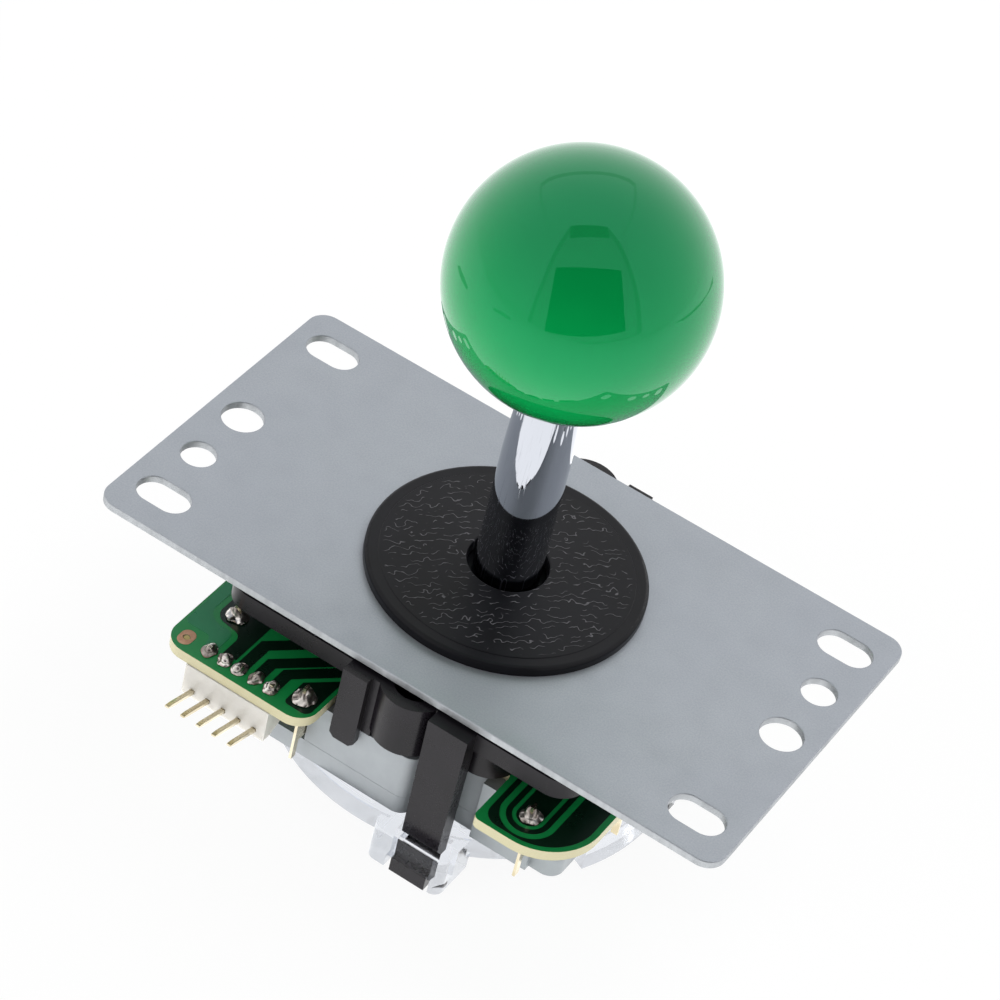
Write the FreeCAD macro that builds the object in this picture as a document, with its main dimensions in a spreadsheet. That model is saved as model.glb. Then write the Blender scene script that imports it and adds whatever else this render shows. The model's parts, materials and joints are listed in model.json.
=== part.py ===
import FreeCAD, Part
import math
import os
import Sketcher

# Arcade joystick lever, in millimetres.
# The origin is the centre of the mounting plate's top face, which meets the panel.
# +Z runs up the lever, +X along the plate, and the header faces -Y.

doc = FreeCAD.newDocument("ArcadeLever")
sheet = doc.addObject("Spreadsheet::Sheet", "Dims")

# Driving dimensions: depths are measured down from the top face of the plate
DIMENSIONS = [
    # Mounting plate
    ("plate_thickness", 1.15),
    ("plate_corner_radius", 2.8),
    ("plate_edge_round", 0.2),
    ("slot_pitch_x", 84.0),
    ("slot_pitch_y", 40.0),
    ("slot_length", 8.0),
    ("slot_width", 5.0),
    ("slot_end_margin", 2.5),
    ("slot_side_margin", 4.0),
    ("round_hole_margin", 5.2),
    ("large_hole_diameter", 6.0),
    ("small_hole_diameter", 5.0),
    ("small_hole_offset", 10.3),
    # Plate screws
    ("screw_spacing", 20.6),
    ("screw_diameter", 3.0),
    ("screw_head_diameter", 5.1),
    ("screw_head_angle", 90.0),
    ("screw_length", 7.5),
    ("screw_clearance", 0.15),
    ("screw_head_sink", 0.1),
    ("recess_width", 0.8),
    ("recess_length", 3.1),
    ("recess_depth", 1.1),
    # Dust washer
    ("washer_diameter", 38.6),
    ("washer_rim_height", 1.45),
    ("washer_crown_height", 1.9),
    ("washer_band_width", 1.8),
    ("washer_band_step", 0.1),
    ("washer_edge_round", 0.55),
    ("washer_bore_clearance", 0.06),
    # Lever
    ("tilt_angle", 8.5),
    ("pivot_depth", 2.0),
    ("ball_diameter", 35.5),
    ("ball_height", 50.4),
    ("ball_mouth_diameter", 10.0),
    ("shaft_diameter", 9.3),
    ("shaft_neck_diameter", 8.2),
    ("taper_start_height", 19.8),
    ("shaft_tail_diameter", 7.0),
    ("shaft_end_length", 1.0),
    ("driver_slot_width", 1.2),
    ("driver_slot_depth", 1.5),
    ("thread_diameter", 6.0),
    ("thread_length", 12.0),
    ("insert_diameter", 9.0),
    ("insert_length", 14.0),
    ("insert_groove_depth", 0.5),
    ("insert_groove_width", 1.5),
    # Pivot and its cup
    ("pivot_radius", 7.0),
    ("pivot_rim_clearance", 0.15),
    ("pivot_bottom_drop", 5.6),
    ("bearing_clearance", 0.1),
    ("cup_wall", 2.7),
    ("cup_top_depth", 0.3),
    ("cup_mouth_radius", 5.3),
    ("cup_floor_drop", 6.0),
    # Return spring, its seat and the actuator
    ("seat_radius", 7.4),
    ("seat_thickness", 1.2),
    ("seat_lip_width", 0.6),
    ("seat_lip_height", 0.8),
    ("spring_radius", 6.2),
    ("spring_wire", 0.9),
    ("spring_turns", 3.5),
    ("drum_radius", 7.0),
    ("drum_rise", 3.0),
    ("drum_drop", 2.6),
    ("drum_groove_depth", 0.8),
    ("barrel_radius", 5.0),
    ("ring_radius", 4.6),
    ("ring_thickness", 0.6),
    ("ring_groove_depth", 0.6),
    ("ring_mouth_width", 4.9),
    # Housing
    ("land_height", 0.45),
    ("land_margin", 0.6),
    ("flange_end_reach", 0.3),
    ("flange_side_setback", 0.8),
    ("flange_thickness", 3.0),
    ("flange_corner_radius", 4.0),
    ("boss_diameter", 9.7),
    ("boss_height", 5.4),
    ("boss_bore_diameter", 6.0),
    ("boss_bore_depth", 5.0),
    ("boss_offset", 2.1),
    ("boss_setback", 2.85),
    ("back_boss_diameter", 9.0),
    ("back_boss_offset", 12.5),
    ("back_boss_setback", 6.7),
    ("web_left", 3.6),
    ("web_right", 1.4),
    ("web_depth", 4.5),
    ("tab_width", 3.8),
    ("tab_offset", 4.75),
    ("tab_stand_off", 1.4),
    ("tab_thickness", 1.2),
    ("tab_corner", 0.7),
    ("tab_length", 12.4),
    ("tab_root_height", 4.0),
    ("arm_width", 6.1),
    ("arm_taper", 0.3),
    ("arm_offset", 9.75),
    ("arm_stand_off", 1.5),
    ("arm_thickness", 2.7),
    ("foot_reach", 1.3),
    ("foot_height", 2.6),
    ("pillar_diameter", 7.0),
    ("pillar_height", 4.0),
    ("rib_thickness", 1.6),
    ("rib_height", 2.5),
    # Circuit board
    ("board_thickness", 1.6),
    ("board_reach", 4.1),
    ("board_front_reach", 5.8),
    ("board_right_reach", 4.0),
    ("board_cutback", 5.8),
    ("board_notch_near", 8.2),
    ("board_notch_far", 17.0),
    ("board_corner_radius", 3.2),
    ("board_wide_radius", 8.5),
    ("board_inner_radius", 1.0),
    ("board_opening", 18.0),
    # Header and its pins
    ("pin_count", 5.0),
    ("pin_pitch", 2.5),
    ("pin_first_inset", 6.1),
    ("pin_row_inset", 2.4),
    ("pin_width", 0.64),
    ("pin_drop", 4.15),
    ("pin_reach", 6.1),
    ("pin_rise", 1.85),
    ("pin_stub", 0.9),
    ("pin_point_length", 1.0),
    ("pin_hole_diameter", 1.0),
    ("spare_hole_gap", 3.7),
    ("header_margin", 1.7),
    ("header_depth", 4.6),
    ("header_height", 5.3),
    ("header_overhang", 0.2),
    ("header_sole", 1.6),
    ("header_heel_rise", 1.6),
    # Switches, drawn at the front and turned to the other three sides
    ("switch_length", 29.0),
    ("switch_depth", 16.5),
    ("switch_face_distance", 10.7),
    ("plunger_inset", 6.1),
    ("case_height", 7.4),
    ("cover_height", 3.0),
    ("case_corner_radius", 2.2),
    ("case_wall", 1.6),
    ("case_roof", 1.2),
    ("end_block_reach", 1.0),
    ("end_block_width", 8.8),
    ("end_block_start", 3.7),
    ("face_recess", 1.2),
    ("face_recess_width", 12.3),
    ("cavity_length", 21.5),
    ("cavity_depth", 9.5),
    ("fixing_hole_diameter", 3.1),
    ("near_hole_inset", 2.8),
    ("near_hole_setback", 2.6),
    ("far_hole_inset", 3.0),
    ("far_hole_setback", 3.2),
    ("fit_clearance", 0.1),
    ("plunger_width", 3.5),
    ("plunger_height", 2.4),
    ("plunger_rest_gap", 0.7),
    ("plunger_clearance", 0.15),
    ("plunger_length", 7.7),
    ("plunger_head_width", 5.0),
    ("plunger_head_length", 0.9),
    ("plunger_nose_radius", 0.7),
    ("plunger_travel", 2.0),
    ("blade_gap", 0.3),
    ("blade_thickness", 0.25),
    ("blade_width", 2.6),
    ("blade_root_length", 4.3),
    ("blade_rise", 2.0),
    ("leg_width", 1.0),
    ("leg_thickness", 0.4),
    ("leg_drop", 9.4),
    ("leg_stub", 2.3),
    ("leg_hole_diameter", 1.4),
    ("terminal_height", 2.4),
    ("terminal_bite", 2.2),
    ("common_leg_reach", 3.25),
    ("common_leg_setback", 4.3),
    ("contact_leg_x", 10.9),
    ("contact_leg_reach", 1.9),
    # Solder
    ("pin_solder_radius", 1.1),
    ("leg_solder_radius", 1.6),
    ("pin_solder_height", 1.2),
    ("leg_solder_height", 2.0),
    ("pin_solder_slope", 35.0),
    ("leg_solder_slope", 26.0),
    # Restrictor gate
    ("gate_overhang", 1.2),
    ("gate_rim_wall", 1.6),
    ("gate_floor_thickness", 1.9),
    ("gate_depth", 3.4),
    ("gate_wall", 1.8),
    ("gate_clearance", 0.2),
    ("gate_corner_radius", 1.5),
    ("ear_width", 11.6),
    ("ear_offset", 9.0),
    ("ear_stand_off", 1.6),
    ("ear_rise", 0.4),
    ("ear_drop", 3.2),
    ("ear_corner_radius", 1.5),
    ("ear_slot_clearance", 0.4),
    ("bar_height", 4.0),
    ("bar_thickness", 1.5),
    ("peg_height", 6.0),
    ("peg_boss_diameter", 5.6),
    ("skirt_start_angle", -26.0),
    ("skirt_end_angle", 8.0),
    ("skirt_drop", 2.6),
]


class Size:
    """A dimension that carries its value together with the sheet formula behind it."""

    def __init__(self, value, formula):
        self.value = value
        self.formula = formula

    def __add__(self, other):
        other = as_size(other)
        return Size(self.value + other.value, f"({self.formula} + {other.formula})")

    def __radd__(self, other):
        return as_size(other) + self

    def __sub__(self, other):
        other = as_size(other)
        return Size(self.value - other.value, f"({self.formula} - {other.formula})")

    def __rsub__(self, other):
        return as_size(other) - self

    def __mul__(self, other):
        other = as_size(other)
        return Size(self.value * other.value, f"({self.formula} * {other.formula})")

    def __rmul__(self, other):
        return as_size(other) * self

    def __truediv__(self, other):
        other = as_size(other)
        return Size(self.value / other.value, f"({self.formula} / {other.formula})")

    def __neg__(self):
        return Size(-self.value, f"(0 - {self.formula})")


def as_size(number):
    """Give a plain number the form of a Size."""
    if isinstance(number, Size):
        return number
    return Size(float(number), f"({float(number)})")


def root(size):
    """Square root of a size."""
    return Size(math.sqrt(size.value), f"sqrt({size.formula})")


def sine(angle):
    """Sine of an angle in degrees."""
    return Size(math.sin(math.radians(angle.value)), f"sin({angle.formula} * 1 deg)")


def cosine(angle):
    """Cosine of an angle in degrees."""
    return Size(math.cos(math.radians(angle.value)), f"cos({angle.formula} * 1 deg)")


def tangent(angle):
    """Tangent of an angle in degrees."""
    return Size(math.tan(math.radians(angle.value)), f"tan({angle.formula} * 1 deg)")


class Dims:
    """The sheet's dimensions, each under its own name."""


dims = Dims()
for row, (alias, number) in enumerate(DIMENSIONS, start=1):
    sheet.set(f"A{row}", alias)
    sheet.set(f"B{row}", str(number))
    sheet.setAlias(f"B{row}", alias)
    setattr(dims, alias, Size(number, f"Dims.{alias}"))
doc.recompute()


# The plate is sized round its slots
plate_length = dims.slot_pitch_x + dims.slot_length + 2 * dims.slot_end_margin
plate_width = dims.slot_pitch_y + dims.slot_width + 2 * dims.slot_side_margin
round_hole_pitch = plate_length - 2 * dims.round_hole_margin

# The switches' outer faces carry the flange, arms, tabs, board and gate with them
block_reach = dims.switch_face_distance + dims.switch_depth
flange_length = 2 * (block_reach + dims.flange_end_reach)
flange_width = 2 * (block_reach - dims.flange_side_setback)
boss_distance = block_reach - dims.boss_setback
tab_face_distance = block_reach + dims.tab_stand_off
arm_face_distance = block_reach + dims.arm_stand_off
ear_face_distance = arm_face_distance + dims.ear_stand_off
gate_radius = block_reach + dims.gate_overhang
skirt_radius = gate_radius + dims.gate_rim_wall
board_half_width = block_reach + dims.board_reach
board_front = block_reach + dims.board_front_reach
board_right_front = block_reach + dims.board_right_reach
board_inner = block_reach - dims.board_cutback
pin_first_x = dims.pin_first_inset - board_half_width
pin_row_distance = board_front - dims.pin_row_inset
header_front = board_front + dims.header_overhang
common_leg_x = dims.switch_length - dims.plunger_inset + dims.common_leg_reach
common_leg_y = block_reach - dims.common_leg_setback
contact_leg_y = block_reach + dims.contact_leg_reach

# Levels, as heights above the plate's top face
plate_bottom = -dims.plate_thickness
flange_top = plate_bottom - dims.land_height
flange_bottom = flange_top - dims.flange_thickness
board_top = flange_bottom - dims.boss_height
board_bottom = board_top - dims.board_thickness
case_bottom = board_bottom - dims.case_height
cover_bottom = case_bottom - dims.cover_height
plunger_level = (board_bottom + cover_bottom) / 2
gate_bottom = cover_bottom - dims.gate_depth
gate_floor = gate_bottom + dims.gate_floor_thickness
ear_bottom = gate_bottom - dims.ear_drop
bar_top = cover_bottom - dims.ear_rise
bar_bottom = bar_top - dims.bar_height
foot_top = bar_bottom - dims.fit_clearance
foot_bottom = foot_top - dims.foot_height
pivot_level = -dims.pivot_depth
cup_floor = pivot_level - dims.cup_floor_drop
seat_bottom = cup_floor - dims.seat_thickness
drum_top = plunger_level + dims.drum_rise
drum_bottom = plunger_level - dims.drum_drop
barrel_bottom = gate_bottom + dims.ring_thickness + dims.gate_clearance
ring_bottom = barrel_bottom - dims.ring_thickness
shaft_end = ring_bottom - dims.shaft_end_length
ball_mouth_level = dims.ball_height - root(
    dims.ball_diameter * dims.ball_diameter / 4 - dims.ball_mouth_diameter * dims.ball_mouth_diameter / 4)

# The two tilts together lean the lever further than one alone
corner_lean = dims.tilt_angle * math.sqrt(2.0)
shaft_radius = dims.shaft_diameter / 2
tail_radius = dims.shaft_tail_diameter / 2
washer_swing_height = dims.washer_crown_height - dims.washer_edge_round / 2 + dims.pivot_depth
washer_bore_radius = (shaft_radius / cosine(corner_lean) + washer_swing_height * tangent(corner_lean)
                      + dims.washer_bore_clearance)
barrel_reach = pivot_level - barrel_bottom
gate_opening_half = (barrel_reach * sine(dims.tilt_angle) + dims.barrel_radius * cosine(dims.tilt_angle)
                     + dims.gate_clearance)
plunger_tip = dims.drum_radius + dims.plunger_rest_gap
# The collar is cut off low enough for its tipped rim to stay under the washer
rim_rise = dims.pivot_depth - dims.pivot_rim_clearance
pivot_top = (pivot_level + rim_rise * cosine(corner_lean)
             - root(dims.pivot_radius * dims.pivot_radius - rim_rise * rim_rise) * sine(corner_lean))
cup_radius = dims.pivot_radius + dims.bearing_clearance
cup_outer_radius = cup_radius + dims.cup_wall
plate_bore_radius = cup_outer_radius + dims.screw_clearance


def new_body(label):
    """Start one piece, whose label becomes its file name."""
    body = doc.addObject("PartDesign::Body", label)
    body.Label = label
    return body


def new_sketch(body, name, role="XY_Plane", lift=None):
    """Put a sketch on one of the body's own origin planes, raised along its normal by lift."""
    sketch = body.newObject("Sketcher::SketchObject", name)
    plane = next(item for item in body.Origin.OriginFeatures if item.Role == role)
    sketch.AttachmentSupport = [(plane, "")]
    sketch.MapMode = "FlatFace"
    if lift is not None:
        sketch.setExpression("AttachmentOffset.Base.z", as_size(lift).formula)
    return sketch


def pin_point(sketch, geometry, position, across, along):
    """Tie one point of a sketch to its place; None leaves that coordinate to the outline."""
    for kind, size in (("DistanceX", across), ("DistanceY", along)):
        if size is None:
            continue
        size = as_size(size)
        index = sketch.addConstraint(Sketcher.Constraint(kind, -1, 1, geometry, position, size.value))
        sketch.setExpression(f"Constraints[{index}]", size.formula)


def add_polygon(sketch, points):
    """Draw a closed outline of straight lines through the points."""
    corners = [(as_size(across), as_size(along)) for across, along in points]
    first = sketch.GeometryCount
    for number, (across, along) in enumerate(corners):
        next_across, next_along = corners[(number + 1) % len(corners)]
        start = FreeCAD.Vector(across.value, along.value, 0)
        end = FreeCAD.Vector(next_across.value, next_along.value, 0)
        sketch.addGeometry(Part.LineSegment(start, end), False)
    for number, (across, along) in enumerate(corners):
        before = first + (number - 1) % len(corners)
        sketch.addConstraint(Sketcher.Constraint("Coincident", before, 2, first + number, 1))
        pin_point(sketch, first + number, 1, across, along)


def add_rectangle(sketch, left, right, low, high):
    """Draw a rectangle between two pairs of edges."""
    add_polygon(sketch, [(left, low), (right, low), (right, high), (left, high)])


def add_circle(sketch, across, along, radius):
    """Draw a circle."""
    across = as_size(across)
    along = as_size(along)
    radius = as_size(radius)
    centre = FreeCAD.Vector(across.value, along.value, 0)
    circle = sketch.addGeometry(Part.Circle(centre, FreeCAD.Vector(0, 0, 1), radius.value), False)
    pin_point(sketch, circle, 3, across, along)
    index = sketch.addConstraint(Sketcher.Constraint("Radius", circle, radius.value))
    sketch.setExpression(f"Constraints[{index}]", radius.formula)


def add_slot(sketch, across, along, length, width):
    """Draw a slot with round ends, lying along the sketch's first axis."""
    half = (length - width) / 2
    radius = width / 2
    right_centre = FreeCAD.Vector((across + half).value, along.value, 0)
    left_centre = FreeCAD.Vector((across - half).value, along.value, 0)
    up = FreeCAD.Vector(0, 0, 1)
    right = sketch.addGeometry(Part.ArcOfCircle(Part.Circle(right_centre, up, radius.value),
                                                -math.pi / 2, math.pi / 2), False)
    left = sketch.addGeometry(Part.ArcOfCircle(Part.Circle(left_centre, up, radius.value),
                                               math.pi / 2, 3 * math.pi / 2), False)
    rise = FreeCAD.Vector(0, radius.value, 0)
    top = sketch.addGeometry(Part.LineSegment(right_centre + rise, left_centre + rise), False)
    bottom = sketch.addGeometry(Part.LineSegment(left_centre - rise, right_centre - rise), False)
    for one, one_end, other, other_end in ((right, 2, top, 1), (top, 2, left, 1),
                                           (left, 2, bottom, 1), (bottom, 2, right, 1)):
        sketch.addConstraint(Sketcher.Constraint("Coincident", one, one_end, other, other_end))
    for arc, centre in ((right, across + half), (left, across - half)):
        pin_point(sketch, arc, 3, centre, along)
        index = sketch.addConstraint(Sketcher.Constraint("Radius", arc, radius.value))
        sketch.setExpression(f"Constraints[{index}]", radius.formula)
        sketch.addConstraint(Sketcher.Constraint("Vertical", arc, 1, arc, 3))
        sketch.addConstraint(Sketcher.Constraint("Vertical", arc, 2, arc, 3))


def pad(body, sketch, name, length, reverse=False, midplane=False):
    """Add material along the sketch's normal, or against it."""
    feature = body.newObject("PartDesign::Pad", name)
    feature.Profile = sketch
    feature.setExpression("Length", as_size(length).formula)
    feature.Reversed = reverse
    feature.Midplane = midplane
    body.Tip = feature
    return feature


def pocket(body, sketch, name, depth=None, reverse=False, midplane=False):
    """Cut against the sketch's normal, or along it; without a depth the cut goes through."""
    before = solid_volume(body)
    feature = body.newObject("PartDesign::Pocket", name)
    feature.Profile = sketch
    if depth is None:
        feature.Type = "ThroughAll"
    else:
        feature.setExpression("Length", as_size(depth).formula)
    feature.Reversed = reverse
    feature.Midplane = midplane
    body.Tip = feature
    if solid_volume(body) >= before:
        raise ValueError(f"{name} cuts nothing")
    return feature


def revolve(body, sketch, name):
    """Turn a profile once round the sketch's vertical axis."""
    feature = body.newObject("PartDesign::Revolution", name)
    feature.Profile = sketch
    feature.ReferenceAxis = (sketch, ["V_Axis"])
    feature.Angle = 360.0
    body.Tip = feature
    return feature


def groove(body, sketch, name):
    """Turn a cut once round the sketch's vertical axis."""
    before = solid_volume(body)
    feature = body.newObject("PartDesign::Groove", name)
    feature.Profile = sketch
    feature.ReferenceAxis = (sketch, ["V_Axis"])
    feature.Angle = 360.0
    body.Tip = feature
    if solid_volume(body) >= before:
        raise ValueError(f"{name} cuts nothing")
    return feature


def solid_volume(body):
    """Volume of the body as it stands."""
    doc.recompute()
    return body.Shape.Volume


def repeat_round(body, features, name, count):
    """Repeat features round the lever's axis."""
    feature = body.newObject("PartDesign::PolarPattern", name)
    feature.Originals = features
    axis = next(item for item in body.Origin.OriginFeatures if item.Role == "Z_Axis")
    feature.Axis = (axis, [""])
    feature.Angle = 360.0
    feature.Occurrences = count
    body.Tip = feature
    return feature


def repeat_along(body, features, name, role, length, count):
    """Repeat features in a row along one of the body's axes."""
    feature = body.newObject("PartDesign::LinearPattern", name)
    feature.Originals = features
    axis = next(item for item in body.Origin.OriginFeatures if item.Role == role)
    feature.Direction = (axis, [""])
    feature.setExpression("Length", as_size(length).formula)
    feature.Occurrences = count
    body.Tip = feature
    return feature


def chosen_edges(body, test):
    """Names of the body's edges that pass the test."""
    doc.recompute()
    edges = body.Tip.Shape.Edges
    return [f"Edge{number}" for number, edge in enumerate(edges, start=1) if test(edge)]


def round_edges(body, name, radius, test):
    """Round the chosen edges."""
    names = chosen_edges(body, test)
    if not names:
        raise ValueError(f"{name} finds no edge")
    base = body.Tip
    feature = body.newObject("PartDesign::Fillet", name)
    feature.Base = (base, names)
    feature.setExpression("Radius", as_size(radius).formula)
    body.Tip = feature
    return feature


def is_upright(edge):
    """True for a straight edge that runs along Z."""
    if not isinstance(edge.Curve, Part.Line) or len(edge.Vertexes) < 2:
        return False
    run = edge.Vertexes[1].Point - edge.Vertexes[0].Point
    return abs(run.x) < 1e-6 and abs(run.y) < 1e-6


def is_near(value, size, slack=0.01):
    """True where a measured coordinate matches a size."""
    return abs(value - as_size(size).value) < slack


def lies_at_height(edge, level):
    """True for an edge that stays at one height."""
    box = edge.BoundBox
    return is_near(box.ZMin, level) and is_near(box.ZMax, level)


def upright_at(edge, across, along):
    """True for an upright edge through one place."""
    return is_upright(edge) and is_near(edge.BoundBox.XMin, across) and is_near(edge.BoundBox.YMin, along)


def make_mounting_plate():
    """Flat steel plate with its panel slots, round holes and centre bore."""
    body = new_body("mounting_plate")
    outline = new_sketch(body, "PlateOutline")
    half_length = plate_length / 2
    half_width = plate_width / 2
    add_rectangle(outline, -half_length, half_length, -half_width, half_width)
    add_circle(outline, 0, 0, plate_bore_radius)
    pad(body, outline, "PlateSheet", dims.plate_thickness, reverse=True)
    round_edges(body, "PlateCorners", dims.plate_corner_radius, is_upright_corner)

    slots = new_sketch(body, "PanelSlots")
    for side in (-1, 1):
        for end in (-1, 1):
            add_slot(slots, side * dims.slot_pitch_x / 2, end * dims.slot_pitch_y / 2,
                     dims.slot_length, dims.slot_width)
    for side in (-1, 1):
        add_circle(slots, side * round_hole_pitch / 2, 0, dims.large_hole_diameter / 2)
        add_circle(slots, side * round_hole_pitch / 2, side * dims.small_hole_offset,
                   dims.small_hole_diameter / 2)
    pocket(body, slots, "PanelHoles")

    screws = new_sketch(body, "PlateScrewPlaces")
    for side in (-1, 1):
        for end in (-1, 1):
            add_circle(screws, side * dims.screw_spacing / 2, end * dims.screw_spacing / 2,
                       dims.screw_diameter / 2 + dims.screw_clearance)
    doc.recompute()
    hole = body.newObject("PartDesign::Hole", "PlateScrewHoles")
    hole.Profile = screws
    hole.DepthType = "ThroughAll"
    hole.setExpression("Diameter", (dims.screw_diameter + 2 * dims.screw_clearance).formula)
    hole.HoleCutType = "Countersink"
    hole.setExpression("HoleCutDiameter", (dims.screw_head_diameter + 2 * dims.screw_clearance).formula)
    hole.setExpression("HoleCutCountersinkAngle", dims.screw_head_angle.formula)
    body.Tip = hole
    round_edges(body, "PlateRim", dims.plate_edge_round, on_plate_rim)
    return body


def is_upright_corner(edge):
    """True for the plate's four upright corner edges."""
    return is_upright(edge) and is_near(abs(edge.BoundBox.XMin), plate_length / 2)


def on_plate_rim(edge):
    """True for the top edges of the plate's outline, slots and round holes."""
    box = edge.BoundBox
    outside = max(abs(box.XMin), abs(box.XMax)) > (round_hole_pitch / 2 - dims.large_hole_diameter).value
    return lies_at_height(edge, 0) and outside


def make_plate_screws():
    """Four countersunk screws that hold the plate to the housing."""
    body = new_body("plate_screws")
    head_radius = dims.screw_head_diameter / 2
    shank_radius = dims.screw_diameter / 2
    head_top = -dims.screw_head_sink
    cone_height = (head_radius - shank_radius) / tangent(dims.screw_head_angle / 2)
    heads = new_sketch(body, "ScrewHeads", lift=head_top)
    for across, along in screw_places():
        add_circle(heads, across, along, head_radius)
    cones = pad(body, heads, "ScrewCones", cone_height, reverse=True)
    cones.setExpression("TaperAngle", (-dims.screw_head_angle / 2).formula)
    shanks = new_sketch(body, "ScrewShanks", lift=head_top)
    for across, along in screw_places():
        add_circle(shanks, across, along, shank_radius)
    pad(body, shanks, "ScrewRods", dims.screw_length, reverse=True)
    crosses = new_sketch(body, "CrossRecesses", lift=head_top)
    arm = dims.recess_length / 2
    web = dims.recess_width / 2
    outline = [(web, web), (web, arm), (-web, arm), (-web, web), (-arm, web), (-arm, -web),
               (-web, -web), (-web, -arm), (web, -arm), (web, -web), (arm, -web), (arm, web)]
    for across, along in screw_places():
        add_polygon(crosses, [(across + right, along + up) for right, up in outline])
    pocket(body, crosses, "CrossCuts", dims.recess_depth)
    return body


def screw_places():
    """Centres of the four plate screws."""
    reach = dims.screw_spacing / 2
    return [(side * reach, end * reach) for side in (-1, 1) for end in (-1, 1)]


def make_dust_washer():
    """Disc that lies on the plate and keeps dust out of the pivot."""
    body = new_body("dust_washer")
    profile = new_sketch(body, "WasherProfile", "XZ_Plane")
    radius = dims.washer_diameter / 2
    band = radius - dims.washer_band_width
    add_polygon(profile, [(washer_bore_radius, 0), (radius, 0), (radius, dims.washer_rim_height),
                          (band, dims.washer_rim_height),
                          (band - dims.washer_band_step, dims.washer_rim_height + dims.washer_band_step),
                          (washer_bore_radius, dims.washer_crown_height)])
    revolve(body, profile, "WasherTurned")
    round_edges(body, "WasherRim", dims.washer_edge_round,
                lambda edge: lies_at_height(edge, dims.washer_rim_height)
                and is_near(edge.BoundBox.XMax, radius))
    round_edges(body, "WasherMouth", dims.washer_edge_round / 2,
                lambda edge: lies_at_height(edge, dims.washer_crown_height))
    return body


def make_ball_top():
    """Ball with a flat mouth and a pocket for its insert."""
    ball = doc.addObject("Part::Sphere", "BallRound")
    ball.setExpression("Radius", (dims.ball_diameter / 2).formula)
    ball.setExpression("Placement.Base.z", dims.ball_height.formula)
    below = doc.addObject("Part::Cylinder", "BallBelowMouth")
    below.setExpression("Radius", dims.ball_mouth_diameter.formula)
    below.setExpression("Height", dims.ball_mouth_diameter.formula)
    below.setExpression("Placement.Base.z", (ball_mouth_level - dims.ball_mouth_diameter).formula)
    socket = doc.addObject("Part::Cylinder", "BallSocket")
    socket.setExpression("Radius", (dims.insert_diameter / 2).formula)
    socket.setExpression("Height", (dims.insert_length + dims.ball_mouth_diameter).formula)
    socket.setExpression("Placement.Base.z", (ball_mouth_level - dims.ball_mouth_diameter).formula)
    cutters = doc.addObject("Part::MultiFuse", "BallCutters")
    cutters.Shapes = [below, socket]
    cut = doc.addObject("Part::Cut", "ball_top")
    cut.Base = ball
    cut.Tool = cutters
    cut.Label = "ball_top"
    return cut


def make_ball_insert():
    """Brass insert in the ball, grooved outside and bored for the shaft's thread."""
    body = new_body("ball_insert")
    profile = new_sketch(body, "InsertProfile", "XZ_Plane")
    radius = dims.insert_diameter / 2
    thread_radius = dims.thread_diameter / 2
    top = ball_mouth_level + dims.insert_length
    bore_top = ball_mouth_level + dims.thread_length + dims.fit_clearance
    waist = radius - dims.insert_groove_depth
    third = dims.insert_length / 3
    groove_half = dims.insert_groove_width / 2
    corners = [(thread_radius, ball_mouth_level), (radius, ball_mouth_level)]
    for level in (ball_mouth_level + third, ball_mouth_level + 2 * third):
        corners += [(radius, level - groove_half), (waist, level - groove_half),
                    (waist, level + groove_half), (radius, level + groove_half)]
    corners += [(radius, top), (0, top), (0, bore_top), (thread_radius, bore_top)]
    add_polygon(profile, corners)
    revolve(body, profile, "InsertTurned")
    return body


def make_shaft():
    """Steel shaft from its thread in the ball down to the driver slot in its tail."""
    body = new_body("shaft")
    profile = new_sketch(body, "ShaftProfile", "XZ_Plane")
    neck_radius = dims.shaft_neck_diameter / 2
    thread_radius = dims.thread_diameter / 2
    thread_top = ball_mouth_level + dims.thread_length
    groove_radius = tail_radius - dims.ring_groove_depth
    bevel = dims.ring_groove_depth / 2
    add_polygon(profile, [
        (0, shaft_end), (tail_radius - bevel, shaft_end), (tail_radius, shaft_end + bevel),
        (tail_radius, ring_bottom), (groove_radius, ring_bottom), (groove_radius, barrel_bottom),
        (tail_radius, barrel_bottom), (tail_radius, pivot_top), (shaft_radius, pivot_top),
        (shaft_radius, dims.taper_start_height), (neck_radius, ball_mouth_level),
        (thread_radius, ball_mouth_level), (thread_radius, thread_top - bevel),
        (thread_radius - bevel, thread_top), (0, thread_top)])
    revolve(body, profile, "ShaftTurned")
    slot = new_sketch(body, "DriverSlot", lift=shaft_end + dims.driver_slot_depth)
    add_rectangle(slot, -dims.driver_slot_width / 2, dims.driver_slot_width / 2, -shaft_radius, shaft_radius)
    pocket(body, slot, "DriverSlotCut", dims.driver_slot_depth)
    return body


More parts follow.
